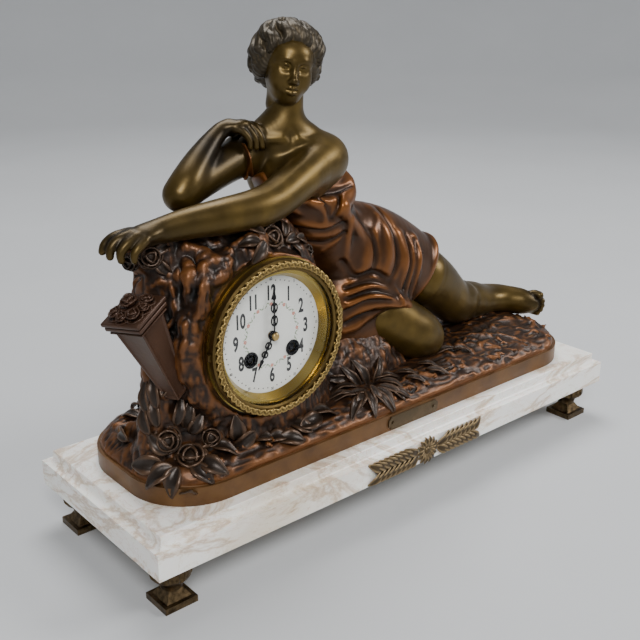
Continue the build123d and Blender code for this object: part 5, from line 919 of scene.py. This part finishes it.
def lock(bearing, first, last, thick, wave, sway):
    """A wavy lock swept back from the hairline to the crown, over a share of the way."""
    start = hair_way(bearing, np.interp(abs(bearing), *zip(*HAIRLINE)))
    aside = np.cross(start, CROWN)
    aside /= np.linalg.norm(aside)
    rows = []
    for share in np.linspace(first, last, 13):
        swell = max(0.0, math.sin(math.pi * (share - first) / (last - first))) ** 0.6
        bend = sway * math.sin(wave + 8.5 * share) * (0.35 + swell)
        way = (1.0 - share) * start + share * CROWN
        way = way / np.linalg.norm(way) + bend * aside
        rows.append((*on_hair(way, -0.6 + 1.2 * swell), 1.0 + thick * swell))
    return rows


rng = np.random.default_rng(SEED)
locks = [
    lock(bearing + rng.uniform(-3, 3), 0.0, 1.0, rng.uniform(1.9, 2.5), rng.uniform(0.0, 6.28), 0.11)
    for bearing in range(-174, 180, 14)
]
locks += [
    lock(bearing + rng.uniform(-6, 6), rng.uniform(-0.11, 0.05), rng.uniform(0.55, 0.75),
         rng.uniform(2.3, 3.0), rng.uniform(0.0, 6.28), 0.2)
    for bearing in range(-170, 180, 20)
]
for stations in locks:
    hair_clay.roll(stations, blend=0.7, steps=3)


def hair_grain(points):
    """Fine strands along the locks, from the hairline to the crown."""
    way = (points - HAIR_CENTRE) / HAIR_RADII
    aside = np.cross(CROWN, (1.0, 0.0, 0.0))
    bearing = np.arctan2(way[:, 0], way @ aside)
    strands = np.sin(44.0 * bearing + 3.0 * cloud(points, 7.0))
    return 0.16 * strands * np.clip(np.hypot(way[:, 0], way @ aside), 0.0, 1.0)


# Rock: drum housing with crags, and the seat under the figure
ROCK_SECTIONS = (
    (78, -126, 84, 48), (104, -126, 80, 46), (130, -126, 79, 45), (166, -127, 80, 43.5),
    (200, -133, 75, 42), (222, -137, 69, 38), (238, -139, 59, 30), (246, -140, 44, 20),
)
ROCK_RIDGES = (
    (2.6, ((153, 286), (160, 281), (169, 284), (175, 300), (174, 318), (163, 329), (150, 319))),
    (5.0, ((186, 246), (200, 252), (212, 262), (222, 262))),
    (4.0, ((186, 262), (190, 280), (186, 300))),
    (5.0, ((206, 268), (205, 290), (200, 315))),
    (4.5, ((230, 250), (228, 266), (216, 282))),
)
ROCK_SHOULDER = ((-205, -10, 236, 12), (-165, -14, 242, 13), (-126, -10, 239, 12), (-100, -4, 233, 11))
ROCK_X, ROCK_Y = -126.0, -6.0
ROCK_HALF = (82.0, 44.0)
CRAG_RING, CRAG_SIZE, CRAG_COUNT = 65.0, 9.0, 18
CRAG_FREE = 66.0
DRUM_RADIUS = 60.0
DRUM_BORE = 56.0
DRUM_BACK = 36.0
DRUM_CLEAR = 0.5
BOB_CHAMBER = (22.0, 20.0)
BOB_DROP = 6.0
DRUM_PROUD = 0.2


def rock_form(x, y, z):
    """Roughly the distance to the housing, from oval sections at each height."""
    heights, *forms = np.array(ROCK_SECTIONS, float).T
    middle, half_length, half_depth = (np.interp(z, heights, form) for form in forms)
    share = np.sqrt(((x - middle) / half_length) ** 2 + ((y - ROCK_Y) / half_depth) ** 2)
    wall = (share - 1.0) * np.minimum(half_length, half_depth)
    return np.maximum(wall, z - heights[-1])


def round_form(x, z, radius):
    """Distance to an endless cylinder on the dial's axis."""
    return np.sqrt((x - DIAL_X) ** 2 + (z - DIAL_Z) ** 2) - radius


def drum_form(x, y, z):
    """Distance to the turned drum, from just before the dial to its back."""
    ends = np.maximum(DIAL_FACE - DRUM_PROUD - y, y - DRUM_BACK)
    return np.maximum(round_form(x, z, DRUM_RADIUS), ends)


rock_clay = Clay((-232, -66, 74), (76, 62, 256), 1.34)
rock_clay.press(rock_form, 4.0)
rock_clay.press(drum_form, 5.0)
rock_clay.lump((-5, 12, 78), (64, 45, 58), blend=10)
rock_clay.roll(((-207, -18, 84, 18), (-200, -16, 120, 14), (-198, -18, 150, 10)), blend=10)
rock_clay.roll(ROCK_SHOULDER, blend=9)
rock_clay.lump((-82, 4, 214), (18, 22, 20), blend=10)
rng = np.random.default_rng(SEED + 1)
for angle in range(96, 268, 11):
    away, way = CRAG_RING + rng.uniform(-1.5, 3.0), math.radians(angle)
    place = (DIAL_X + away * math.cos(way), DIAL_FACE + 8.0, DIAL_Z + away * math.sin(way))
    radii = (CRAG_SIZE + rng.uniform(-3, 3), 8, CRAG_SIZE + rng.uniform(-3, 3))
    rock_clay.lump(place, radii, turn=(0, angle, 0), blend=8)
for _ in range(CRAG_COUNT):
    bearing, height = rng.uniform(0.2 * math.pi, 1.45 * math.pi), rng.uniform(86, 236)
    x, y = ROCK_X + ROCK_HALF[0] * math.cos(bearing), ROCK_Y + ROCK_HALF[1] * math.sin(bearing)
    if abs(x - DIAL_X) < CRAG_FREE and abs(height - DIAL_Z) < CRAG_FREE:
        continue
    size = rng.uniform(5, 11)
    radii = (size * 1.4, size, size * rng.uniform(0.8, 1.8))
    rock_clay.lump((x, y, height), radii, turn=rng.uniform(-60, 60, 3), blend=5, cut=rng.uniform() > 0.62)
for width, pixels in ROCK_RIDGES:
    rock_clay.fold(pixels, width, blend=width * 0.6)


def rock_grain(points):
    """Crags away from the turned drum, with fine chiselling all over."""
    rough = 2.0 * cloud(points, 19.0)
    for height, squeeze, size in ((2.4, 0.55, 10.0), (1.8, 0.5, 5.0), (0.9, 0.6, 2.6)):
        rough += height * (np.abs(cloud(points * (1, 1, squeeze), size)) - 0.3)
    bore = np.hypot(points[:, 0] - DIAL_X, points[:, 2] - DIAL_Z)
    inside = np.clip((bore - DRUM_BORE - 0.5) / 1.5, 0.0, 1.0)
    outside = np.clip((bore - DRUM_RADIUS + 1.0) / 5.0, 0.0, 1.0)
    return rough * (0.4 * inside + 0.6 * outside)


def open_drum(clay):
    """Clears the bore for the movement, the bob's chamber, and what stands before and behind the drum."""
    half_width, depth = BOB_CHAMBER
    bob_low, bob_high = node_box("pendulum_bob")
    middle = (bob_low[1] + bob_high[1]) / 2
    clay.carve(lambda x, y, z: round_form(x, z, DRUM_BORE))
    clay.carve(
        lambda x, y, z: np.maximum(
            np.maximum(np.abs(x - DIAL_X) - half_width, np.abs(y - middle) - depth / 2),
            np.maximum(z - DIAL_Z, bob_low[2] - BOB_DROP - z),
        )
    )
    clay.carve(
        lambda x, y, z: np.maximum(
            round_form(x, z, DRUM_RADIUS + DRUM_CLEAR), np.minimum(y - DIAL_FACE, DRUM_BACK - y)
        )
    )


# Ground on the terrace: a mound with grass
MOUND_HALF = (227.5, 65.0)
MOUND_CORNER = 49.0
MOUND_EDGE, MOUND_RISE, MOUND_EASE, MOUND_SUNK = 3.0, 11.5, 9.0, 1.2
GRASS_TUFTS = 420
GRASS_X, GRASS_Y = (-215, 222), (-58, 58)
SEAT_X, SEAT_Y, SEAT_HALF = (-205, 70), -4, 38


def mound_form(x, y, z):
    """Roughly the distance to the mound: a round-cornered slab that swells to its middle."""
    edge_x = np.maximum(np.abs(x) - MOUND_HALF[0] + MOUND_CORNER, 0.0)
    edge_y = np.maximum(np.abs(y) - MOUND_HALF[1] + MOUND_CORNER, 0.0)
    rim = np.hypot(edge_x, edge_y) - MOUND_CORNER
    crown = GROUND_Z + MOUND_EDGE + MOUND_RISE * (1.0 - np.exp(np.minimum(rim, 0.0) / MOUND_EASE))
    return np.maximum(np.maximum(rim, z - crown), GROUND_Z - MOUND_SUNK - z)


ground_clay = Clay((-234, -71, 75), (234, 71, 112), 1.3)
ground_clay.press(mound_form, 1.0)
rng = np.random.default_rng(SEED + 2)
for _ in range(GRASS_TUFTS):
    x, y = rng.uniform(*GRASS_X), rng.uniform(*GRASS_Y)
    if SEAT_X[0] < x < SEAT_X[1] and abs(y - SEAT_Y) < SEAT_HALF:
        continue
    place = ground_clay.struck(np.array((x, y, 200.0)), np.array((0.0, 0.0, -1.0)))
    if place is None:
        continue
    way, length = rng.uniform(0, 6.28), rng.uniform(5, 11)
    step = np.array((math.cos(way), math.sin(way), 0.0)) * length
    bend = np.array((-step[1], step[0], 0.0)) * rng.uniform(-0.4, 0.4)
    radius = rng.uniform(1.2, 2.2)
    blade = ((*(place - step), 0.4), (*(place + bend), radius), (*(place + step), 0.4))
    ground_clay.roll(blade, blend=1.2, steps=3)


def ground_grain(points):
    """Earth and combed grass, fading at the mound's rim."""
    rise = np.clip((points[:, 2] - GROUND_Z) / 3.0, 0.0, 1.0)
    strokes = points * (0.45, 1.0, 1.0)
    combed = 1.5 * (0.4 - np.abs(cloud(strokes, 4.5))) + 0.3 * cloud(strokes, 2.2)
    return rise * (1.2 * cloud(points, 13.0) + combed)


# Leaves and roses, made once and set on the casting
def leaf_mesh(length, width, curl, fold, thick=0.7, sway=0.0):
    """A pointed leaf along X from its stalk, creased down the middle and drooping to its tip."""
    sheet = bmesh.new()
    bmesh.ops.create_grid(sheet, x_segments=9, y_segments=4, size=0.5)
    for vertex in sheet.verts:
        along, across = vertex.co.x + 0.5, vertex.co.y * 2.0
        wide = width / 2 * math.sin(math.pi * min(along, 1.0) ** 0.8) ** 0.8 if 0 < along < 1 else 0.12
        ripple = 0.01 * math.sin(along * 15.0) * abs(across)
        arch = 0.14 * math.sin(along * math.pi) - curl * along**2
        vertex.co = (
            along * length,
            across * wide + sway * along**2 * length,
            fold * abs(across) * wide + (ripple + arch) * length,
        )
    bmesh.ops.solidify(sheet, geom=sheet.faces, thickness=thick)
    bmesh.ops.recalc_face_normals(sheet, faces=sheet.faces)
    return sheet


def turn_by(degrees, axis="Z"):
    """A turn about an axis."""
    return Matrix.Rotation(math.radians(degrees), 4, axis)


def petal_ring(rose, count, radius, size, open_deg, lift, phase):
    """A ring of cupped petals round Z."""
    for index in range(count):
        made = bmesh.ops.create_grid(rose, x_segments=5, y_segments=5, size=0.5)["verts"]
        for vertex in made:
            across, up = vertex.co.x * 2.0, vertex.co.y + 0.5
            wide = size * (0.45 + 0.55 * math.sin(min(up * 1.25, 1.0) * math.pi / 2)) * 0.75
            round_top = 1.0 - 0.35 * across * across * up
            bulge = 0.34 * size * (1.0 - across * across) * math.sin(up * math.pi * 0.8)
            lip = 0.30 * size * max(up - 0.72, 0.0)
            vertex.co = (radius + bulge + lip, across * wide, up * size * round_top)
        tilt = turn_by(open_deg, "Y")
        turn = Matrix.Rotation(phase + 2 * math.pi * index / count, 4, "Z")
        bmesh.ops.transform(rose, matrix=turn @ Matrix.Translation((0, 0, lift)) @ tilt, verts=made)


def rose_mesh(size):
    """An open rose looking along Z, its petals in rings round a tight heart."""
    rose = bmesh.new()
    petal_ring(rose, 3, 0.03 * size, 0.42 * size, 12, 0.14 * size, 0.2)
    petal_ring(rose, 4, 0.10 * size, 0.50 * size, 32, 0.08 * size, 0.9)
    petal_ring(rose, 5, 0.16 * size, 0.56 * size, 55, 0.03 * size, 0.4)
    petal_ring(rose, 6, 0.20 * size, 0.62 * size, 76, -0.02 * size, 0.1)
    bmesh.ops.solidify(rose, geom=rose.faces, thickness=0.07 * size)
    bmesh.ops.recalc_face_normals(rose, faces=rose.faces)
    heart = Matrix.Translation((0, 0, 0.16 * size)) @ Matrix.Diagonal((1, 1, 0.8, 1))
    bmesh.ops.create_icosphere(rose, subdivisions=3, radius=0.30 * size, matrix=heart)
    return rose


def facing(place, outward, turn_deg, lift=0.0):
    """Places a shape at a point in millimetres with Z outward, turned about it."""
    aim = Vector(outward).to_track_quat("Z", "Y").to_matrix().to_4x4()
    seat = Matrix.Translation(Vector(place) + Vector(outward) * lift)
    return seat @ aim @ turn_by(turn_deg)


TO_FRONT = turn_by(90, "X")


class Spray:
    """Leaves, roses and such gathered into one mesh."""

    def __init__(self):
        self.shape = bmesh.new()

    def take(self, other, matrix):
        """Adds a shape, moved by the matrix, and frees it."""
        bmesh.ops.transform(other, matrix=matrix, verts=other.verts)
        held = as_mesh("held", other)
        self.shape.from_mesh(held)
        bpy.data.meshes.remove(held)

    def piece(self, name, finish, body, *nodes, levels=1, depth=0.7, wear=True):
        """The gathered shapes as one piece, in metres."""
        bmesh.ops.scale(self.shape, vec=(MM,) * 3, verts=self.shape.verts)
        if levels:
            bmesh.ops.subdivide_edges(
                self.shape, edges=self.shape.edges, cuts=levels, smooth=1.0, use_grid_fill=True
            )
        mesh = as_mesh(name, self.shape)
        if wear:
            points = np.array([v.co for v in mesh.vertices]) / MM
            edges = np.array([e.vertices[:] for e in mesh.edges])
            normals = np.array([v.normal for v in mesh.vertices])
            mark_wear(mesh, points, relax(points, edges, 6), normals, depth)
        mesh.shade_smooth()
        return dress(link_mesh(name, mesh), finish, body, *nodes)


def nearest_hit(pixel, *clays):
    """The first clay met through a pixel: the place and the outward direction there."""
    best = None
    for clay in clays:
        place = clay.seen(pixel)
        if place is not None and (best is None or place @ sight(pixel) < best[0] @ sight(pixel)):
            best = (place, clay.outward(place))
    return best


ROSES = (
    ((191, 459), 21), ((167, 440), 17), ((211, 436), 15), ((270, 238), 17), ((307, 250), 9),
    ((150, 256), 14), ((130, 262), 11), ((120, 280), 9),
)
LEAVES = (
    ((138, 408), 26, 10, 112), ((148, 398), 28, 9, 100), ((158, 392), 26, 9, 84), ((131, 418), 24, 10, 132),
    ((167, 386), 22, 8, 76), ((126, 432), 22, 10, 160), ((146, 420), 24, 10, 120), ((156, 412), 24, 9, 96),
    ((160, 474), 24, 14, 200), ((186, 486), 22, 14, 270), ((213, 466), 22, 13, 330), ((149, 462), 24, 14, 170),
    ((176, 412), 22, 9, 95), ((188, 414), 24, 9, 80), ((200, 474), 20, 12, 300), ((158, 446), 20, 11, 150),
    ((206, 450), 20, 11, 20), ((172, 480), 22, 13, 245), ((224, 448), 22, 12, 10), ((196, 424), 18, 10, 60),
    ((243, 438), 22, 13, 200), ((262, 440), 19, 12, 215), ((290, 440), 24, 13, 190), ((312, 424), 26, 13, 30),
    ((300, 428), 22, 12, 160), ((236, 428), 20, 12, 100), ((276, 438), 18, 12, 200), ((322, 412), 22, 12, 50),
    ((346, 398), 27, 8, 226), ((354, 406), 28, 8, 244), ((362, 402), 27, 8.5, 258), ((370, 402), 26, 8.5, 272),
    ((379, 400), 25, 8.5, 288), ((386, 396), 25, 8, 306), ((391, 392), 26, 8, 328), ((343, 389), 26, 8, 208),
    ((358, 396), 24, 7.5, 236), ((375, 397), 24, 7.5, 284), ((362, 372), 28, 8, 112), ((374, 371), 28, 8, 74),
    ((351, 377), 27, 7.5, 136), ((386, 379), 27, 8, 30), ((392, 384), 25, 7, 350), ((340, 396), 22, 7, 226),
    ((398, 394), 22, 7, 330), ((408, 374), 24, 7, 10), ((428, 366), 22, 7, 350), ((444, 352), 20, 7, 20),
    ((336, 380), 22, 7, 190), ((416, 380), 20, 6, 340), ((436, 372), 20, 6, 330), ((462, 350), 18, 6, 10),
    ((254, 232), 18, 9, 150), ((258, 250), 18, 10, 220), ((290, 238), 20, 9, 30), ((282, 228), 18, 8, 70),
    ((296, 252), 16, 8, 330), ((264, 224), 16, 8, 110), ((300, 240), 16, 8, 20), ((250, 242), 16, 9, 180),
    ((160, 248), 14, 7, 40), ((140, 250), 14, 7, 100), ((162, 268), 16, 8, 300), ((116, 292), 12, 6, 200),
)


def set_flowers():
    """Roses and leaves where the photograph has them, each seated on the casting behind it."""
    spray = Spray()
    up_in_view = np.array(sight_up)
    right_in_view = np.array(sight_right)
    for pixel, size in ROSES:
        hit = nearest_hit(pixel, rock_clay, ground_clay)
        if hit:
            outward = hit[1] + 0.5 * np.array(backward)
            outward /= np.linalg.norm(outward)
            spray.take(rose_mesh(size), facing(hit[0], outward, pixel[0] * 7.0, lift=-0.10 * size))
    for index, (pixel, length, width, turn) in enumerate(LEAVES):
        hit = nearest_hit(pixel, rock_clay, ground_clay)
        if not hit:
            continue
        place, outward = hit
        way = math.cos(math.radians(turn)) * right_in_view + math.sin(math.radians(turn)) * up_in_view
        way = way - outward * (way @ outward)
        way /= max(np.linalg.norm(way), 1e-6)
        side = np.cross(outward, way)
        matrix = Matrix(np.vstack([
            np.column_stack([way, side, outward, place - way * length * 0.45 + outward * 1.2]), (0, 0, 0, 1)
        ]).tolist())
        spray.take(leaf_mesh(length, width, 0.16, 0.28, thick=1.0, sway=0.22 * (index % 3 - 1)), matrix)
    return spray.piece("flowers", flower_bronze, "case", depth=1.3)


# The pail that leans on the rock, with a heap of roses
PAIL_PLACE = (-198.5, -34.0, 138.0)
PAIL_TURN = (0.8, -23.5, 20.0)
PAIL_HEIGHT, PAIL_TOP, PAIL_FOOT = 75.0, 26.0, 12.0
PAIL_RIMS = ((9.5, 1.2, 1.6), (5.5, 2.4, 3.0), (1.5, 3.2, 3.0))
PAIL_HEAP = (
    (-7, -7, 0.5, 11), (7, -7, 0.5, 11), (-7, 7, 0.5, 11), (7, 7, 0.5, 11), (0, 0, 3.5, 13),
    (0, -10, 0.5, 9), (-10, 0, 0.5, 9),
)


def pail_shape():
    """A square tapering pail with a sunk panel on each side and a moulded rim."""
    shape = bmesh.new()
    bmesh.ops.create_cube(shape, size=1.0)
    for vertex in shape.verts:
        top = vertex.co.z > 0
        side = (PAIL_TOP if top else PAIL_FOOT) / 2
        x, y = (math.copysign(side, value) for value in vertex.co.xy)
        vertex.co = (x, y, PAIL_HEIGHT if top else 0.0)
    bmesh.ops.recalc_face_normals(shape, faces=shape.faces)
    sides = [face for face in shape.faces if abs(face.normal.z) < 0.5]
    bmesh.ops.inset_individual(shape, faces=sides, thickness=2.2, depth=0.0)
    bmesh.ops.inset_individual(shape, faces=sides, thickness=0.8, depth=-0.9)
    bmesh.ops.bevel(
        shape, geom=shape.edges[:], offset=0.5, affect="EDGES", segments=2, profile=0.5, material=-1
    )
    for drop, proud, thick in PAIL_RIMS:
        made = bmesh.ops.create_cube(shape, size=1.0)["verts"]
        side = PAIL_TOP + 2 * proud
        seat = Matrix.Translation((0, 0, PAIL_HEIGHT - drop)) @ Matrix.Diagonal((side, side, thick, 1.0))
        bmesh.ops.transform(shape, matrix=seat, verts=made)
        edges = list({edge for vertex in made for edge in vertex.link_edges})
        bmesh.ops.bevel(shape, geom=edges, offset=0.9, affect="EDGES", segments=3, profile=0.5, material=-1)
    return shape


pail = Spray()
stand = Matrix.Translation(PAIL_PLACE)
for axis, angle in zip("XYZ", PAIL_TURN):
    stand = stand @ turn_by(angle, axis)
pail.take(pail_shape(), stand)
for index, (x, y, rise, size) in enumerate(PAIL_HEAP):
    seat = facing((x, y, PAIL_HEIGHT + rise), (x / 40, y / 40, 1.0), 50.0 * index)
    pail.take(rose_mesh(size), stand @ seat)
pail.piece("pail", pail_bronze, "case", "flower_pail", levels=0, wear=False)

# Flowers set on the clay, then the clay pieces cast
set_flowers()
open_drum(rock_clay)
cast(rock_clay, "rock_casting", rock_bronze, "rock", grain=rock_grain, depth=1.7)
cast(ground_clay, "ground", rock_bronze, grain=ground_grain, depth=1.1)
cast(
    body_clay, "figure_skin", skin_bronze, "figure_torso", "figure_left_arm", "figure_right_arm",
    depth=2.8, spread=40, even=2, dark_spots=tarnish_at(body_clay, *HAND_DARK_SPOTS),
)
cast(near_clay, "near_leg", skin_bronze, "figure_near_leg", depth=2.4, spread=40, even=2)
cast(
    far_clay, "far_leg", skin_bronze, "figure_far_leg",
    depth=2.8, spread=40, even=2, dark_spots=tarnish_at(far_clay, TOE_DARK_SPOT),
)
cast(
    cloth_clay, "drapery", drapery_bronze, "figure_skirt",
    depth=2.0, spread=60, even=3, dark_spots=tarnish_at(body_clay, STRAP_DARK_SPOT),
)
cast(head_clay, "head", skin_bronze, "figure_head", depth=3.0, spread=30, place=on_neck)
cast(hair_clay, "hair", hair_bronze, grain=hair_grain, depth=1.5, spread=26, place=on_neck)

# Bezel garland: two rows of small leaves leaning along the rim
GARLAND_LEAVES = 60
GARLAND_ROWS = ((55.3, 30, 0.5), (52.5, -30, 0.0))
garland = Spray()
bezel_face = Matrix.Translation((DIAL_X, node_box("bezel")[0][1], DIAL_Z)) @ TO_FRONT
for index in range(GARLAND_LEAVES):
    for row_radius, lean, shift in GARLAND_ROWS:
        spin = Matrix.Rotation((2 * index + shift) * math.pi / GARLAND_LEAVES, 4, "Z")
        seat = Matrix.Translation((row_radius, -2.4, -0.3)) @ turn_by(78 + lean)
        garland.take(leaf_mesh(6.6, 3.7, 0.04, 0.25), bezel_face @ spin @ seat)
garland.piece("bezel_garland", gilt, "bezel_door", levels=0, depth=0.35)


# Dial: numerals, minute dots and small flower sprays
NUMERAL_RING, NUMERAL_HEIGHT, NUMERAL_NARROW, NUMERAL_BOLD = 31.5, 10.4, 0.62, 0.50
MINUTE_RING, MINUTE_HEIGHT, MINUTE_NARROW, MINUTE_BOLD = 41.9, 2.1, 0.8, 0.05
CAP_HEIGHT = 0.70
DOT_RING, DOT_SIZE = 40.4, 0.52
SPRAY_RING = 23.4
PETAL_COUNT, PETAL_RING, PETAL_SIZE = 5, 0.85, 0.62
SPRIG_SIZES = (0.62, 0.34, 0.34)
HOLE_ACROSS, HOLE_UP, HOLE_CLEAR = 19.0, -14.5, 6.0
PRINT = 0.06


def on_dial(across, up):
    """A place on the dial's print, in metres."""
    return Vector((DIAL_X + across, DIAL_FACE - PRINT, DIAL_Z + up)) * MM


def on_ring(ring, angle):
    """Across and up on the dial, by a ring's radius and the angle from twelve."""
    return ring * math.sin(angle), ring * math.cos(angle)


def printed(text, across, up, height, narrow, bold, name):
    """A numeral standing on the dial, made a mesh."""
    curve = bpy.data.curves.new(name, "FONT")
    curve.body = text
    curve.align_x, curve.align_y = "CENTER", "CENTER"
    curve.size = height / CAP_HEIGHT * MM
    curve.extrude = PRINT / 2 * MM
    curve.resolution_u = 6
    curve.offset = bold * MM
    maker = bpy.data.objects.new(name, curve)
    bpy.context.scene.collection.objects.link(maker)
    mesh = bpy.data.meshes.new_from_object(maker)
    bpy.data.objects.remove(maker)
    mesh.transform(Matrix.Diagonal((narrow, 1.0, 1.0, 1.0)))
    mesh.transform(Matrix.Translation(on_dial(across, up)) @ TO_FRONT)
    return mesh


def gather(name, meshes, finish, body):
    """Several meshes as one piece."""
    whole = bmesh.new()
    for mesh in meshes:
        whole.from_mesh(mesh)
        bpy.data.meshes.remove(mesh)
    bmesh.ops.remove_doubles(whole, verts=whole.verts, dist=1e-7)
    return dress(link_mesh(name, as_mesh(name, whole)), finish, body)


numerals = []
for hour in range(1, 13):
    angle = math.radians(30 * hour)
    form = (NUMERAL_HEIGHT, NUMERAL_NARROW, NUMERAL_BOLD)
    numerals.append(printed(str(hour), *on_ring(NUMERAL_RING, angle), *form, f"hour_{hour}"))
    form = (MINUTE_HEIGHT, MINUTE_NARROW, MINUTE_BOLD)
    numerals.append(printed(str(5 * hour), *on_ring(MINUTE_RING, angle), *form, f"minute_{hour}"))
gather("dial_numerals", numerals, black_enamel, "case")


def discs(name, places, finish):
    """Small printed dots on the dial, each a place and a radius."""
    shape = bmesh.new()
    for across, up, radius in places:
        made = bmesh.ops.create_circle(shape, cap_ends=True, segments=10, radius=radius * MM)["verts"]
        stand = Matrix.Translation(on_dial(across, up)) @ TO_FRONT
        bmesh.ops.transform(shape, matrix=stand, verts=made)
    bmesh.ops.solidify(shape, geom=shape.faces, thickness=PRINT / 2 * MM)
    bmesh.ops.recalc_face_normals(shape, faces=shape.faces)
    return dress(link_mesh(name, as_mesh(name, shape)), finish, "case")


dots = []
for minute in range(60):
    if minute % 5:
        dots.append((*on_ring(DOT_RING, math.radians(6 * minute)), DOT_SIZE))
discs("minute_dots", dots, black_enamel)
blossoms, sprigs = [], []
for hour in range(12):
    angle = math.radians(30 * hour)
    across, up = on_ring(SPRAY_RING, angle)
    for petal in range(PETAL_COUNT):
        turn = angle + 2 * math.pi * petal / PETAL_COUNT
        blossoms.append((across + PETAL_RING * math.cos(turn), up + PETAL_RING * math.sin(turn), PETAL_SIZE))
    for step in range(1, 9):
        for hand in (-1, 1):
            bend = angle + hand * math.radians(1.5 * step + 2.0)
            ring = SPRAY_RING + 1.3 * math.sin(step * 0.75 + hand)
            sprigs.append((*on_ring(ring, bend), SPRIG_SIZES[step % 3]))


def off_holes(dots):
    """The dots that stand clear of the two winding holes."""
    return [dot for dot in dots if math.hypot(abs(dot[0]) - HOLE_ACROSS, dot[1] - HOLE_UP) > HOLE_CLEAR]


discs("dial_blossoms", off_holes(blossoms), pink_enamel)
discs("dial_sprigs", off_holes(sprigs), green_enamel)

# Laurel mount: a rosette between two sprays of leaves
LAUREL_PAIRS, LAUREL_START, LAUREL_END, LAUREL_LEAN = 8, 11, 16, 28
ROSETTE_PETALS = 14
laurel = Spray()
laurel_middle = (laurel_low + laurel_high) / 2
laurel_reach = (laurel_high[0] - laurel_low[0]) / 2
upright = Matrix.Translation((laurel_middle[0], plinth_low[1], laurel_middle[2])) @ TO_FRONT
for hand in (-1, 1):
    for step in range(LAUREL_PAIRS):
        run = laurel_reach - LAUREL_START - LAUREL_END
        x = hand * (LAUREL_START + run * step / (LAUREL_PAIRS - 1))
        for side in (-1, 1):
            turn = (0 if hand > 0 else 180) + LAUREL_LEAN * side * hand
            seat = Matrix.Translation((x, 0.8 * side, 0.5)) @ turn_by(turn)
            laurel.take(leaf_mesh(17.5, 7.0, 0.02, 0.16, thick=0.9), upright @ seat)
for petal in range(ROSETTE_PETALS):
    seat = Matrix.Rotation(2 * math.pi * petal / ROSETTE_PETALS, 4, "Z") @ Matrix.Translation((2.2, 0, 0.5))
    laurel.take(leaf_mesh(10.0, 4.6, -0.02, 0.25, thick=0.9), upright @ seat)
heart = bmesh.new()
bmesh.ops.create_uvsphere(heart, u_segments=20, v_segments=10, radius=3.2)
laurel.take(heart, upright @ Matrix.Translation((0, 0, 0.6)) @ Matrix.Diagonal((1, 1, 0.7, 1)))
laurel.piece("laurel", antique_bronze, "case", "laurel_mount", levels=1, depth=0.5)


# Stage, light and camera
SWEEP = ((0.0, 0.0), (2.0, 0.0), (2.5, 0.10), (2.9, 0.42), (3.1, 0.95), (3.1, 3.2))
floor_shape = bmesh.new()
profile = [floor_shape.verts.new((x, 0.0, z)) for x, z in SWEEP]
rails = [floor_shape.edges.new(pair) for pair in zip(profile, profile[1:])]
bmesh.ops.spin(
    floor_shape, geom=profile + rails, axis=(0, 0, 1), cent=(0, 0, 0), angle=2 * math.pi, steps=72,
    use_merge=True,
)
bmesh.ops.remove_doubles(floor_shape, verts=floor_shape.verts, dist=1e-5)
floor_mesh = as_mesh("floor", floor_shape)
floor_mesh.shade_smooth()
floor = link_mesh("floor", floor_mesh)
floor_finish = new_finish("pale_floor", Roughness=0.75)
floor_tone = ramp(
    floor_finish, mottle(floor_finish, 3.0), (0.3, (0.475, 0.485, 0.495)), (0.7, (0.50, 0.51, 0.52))
)
feed(floor_finish, "Base Color", floor_tone)
floor.data.materials.append(floor_finish)

SKY_COLOUR, SKY_STRENGTH = (0.50, 0.51, 0.53, 1.0), 0.55
world = bpy.data.worlds.new("studio")
bpy.context.scene.world = world
world.use_nodes = True
sky = world.node_tree.nodes["Background"]
sky.inputs["Color"].default_value = SKY_COLOUR
sky.inputs["Strength"].default_value = SKY_STRENGTH
LIGHTS = (
    ("key", (-1.1, -1.5, 1.7), 0.9, 46.0),
    ("side", (1.5, -1.2, 1.3), 0.8, 30.0),
    ("top", (0.4, 0.7, 2.0), 1.2, 34.0),
)
AIM = Vector((0.0, 0.0, 0.16))
for name, place, size, power in LIGHTS:
    lamp = bpy.data.lights.new(name, "AREA")
    lamp.shape = "DISK"
    lamp.size = size
    lamp.energy = power
    holder = bpy.data.objects.new(name, lamp)
    holder.location = place
    holder.rotation_euler = (Vector(place) - AIM).to_track_quat("Z", "Y").to_euler()
    bpy.context.scene.collection.objects.link(holder)

camera_data = bpy.data.cameras.new("camera")
camera_data.sensor_width = SENSOR
camera_data.lens = SENSOR * FOCAL / FRAME_SIDE
camera_data.clip_start, camera_data.clip_end = 0.01, 50.0
camera = bpy.data.objects.new("camera", camera_data)
turn = Matrix((sight_right, sight_up, backward)).transposed().to_4x4()
camera.matrix_world = Matrix.Translation(Vector(EYE) * MM) @ turn
bpy.context.scene.collection.objects.link(camera)
bpy.context.scene.camera = camera
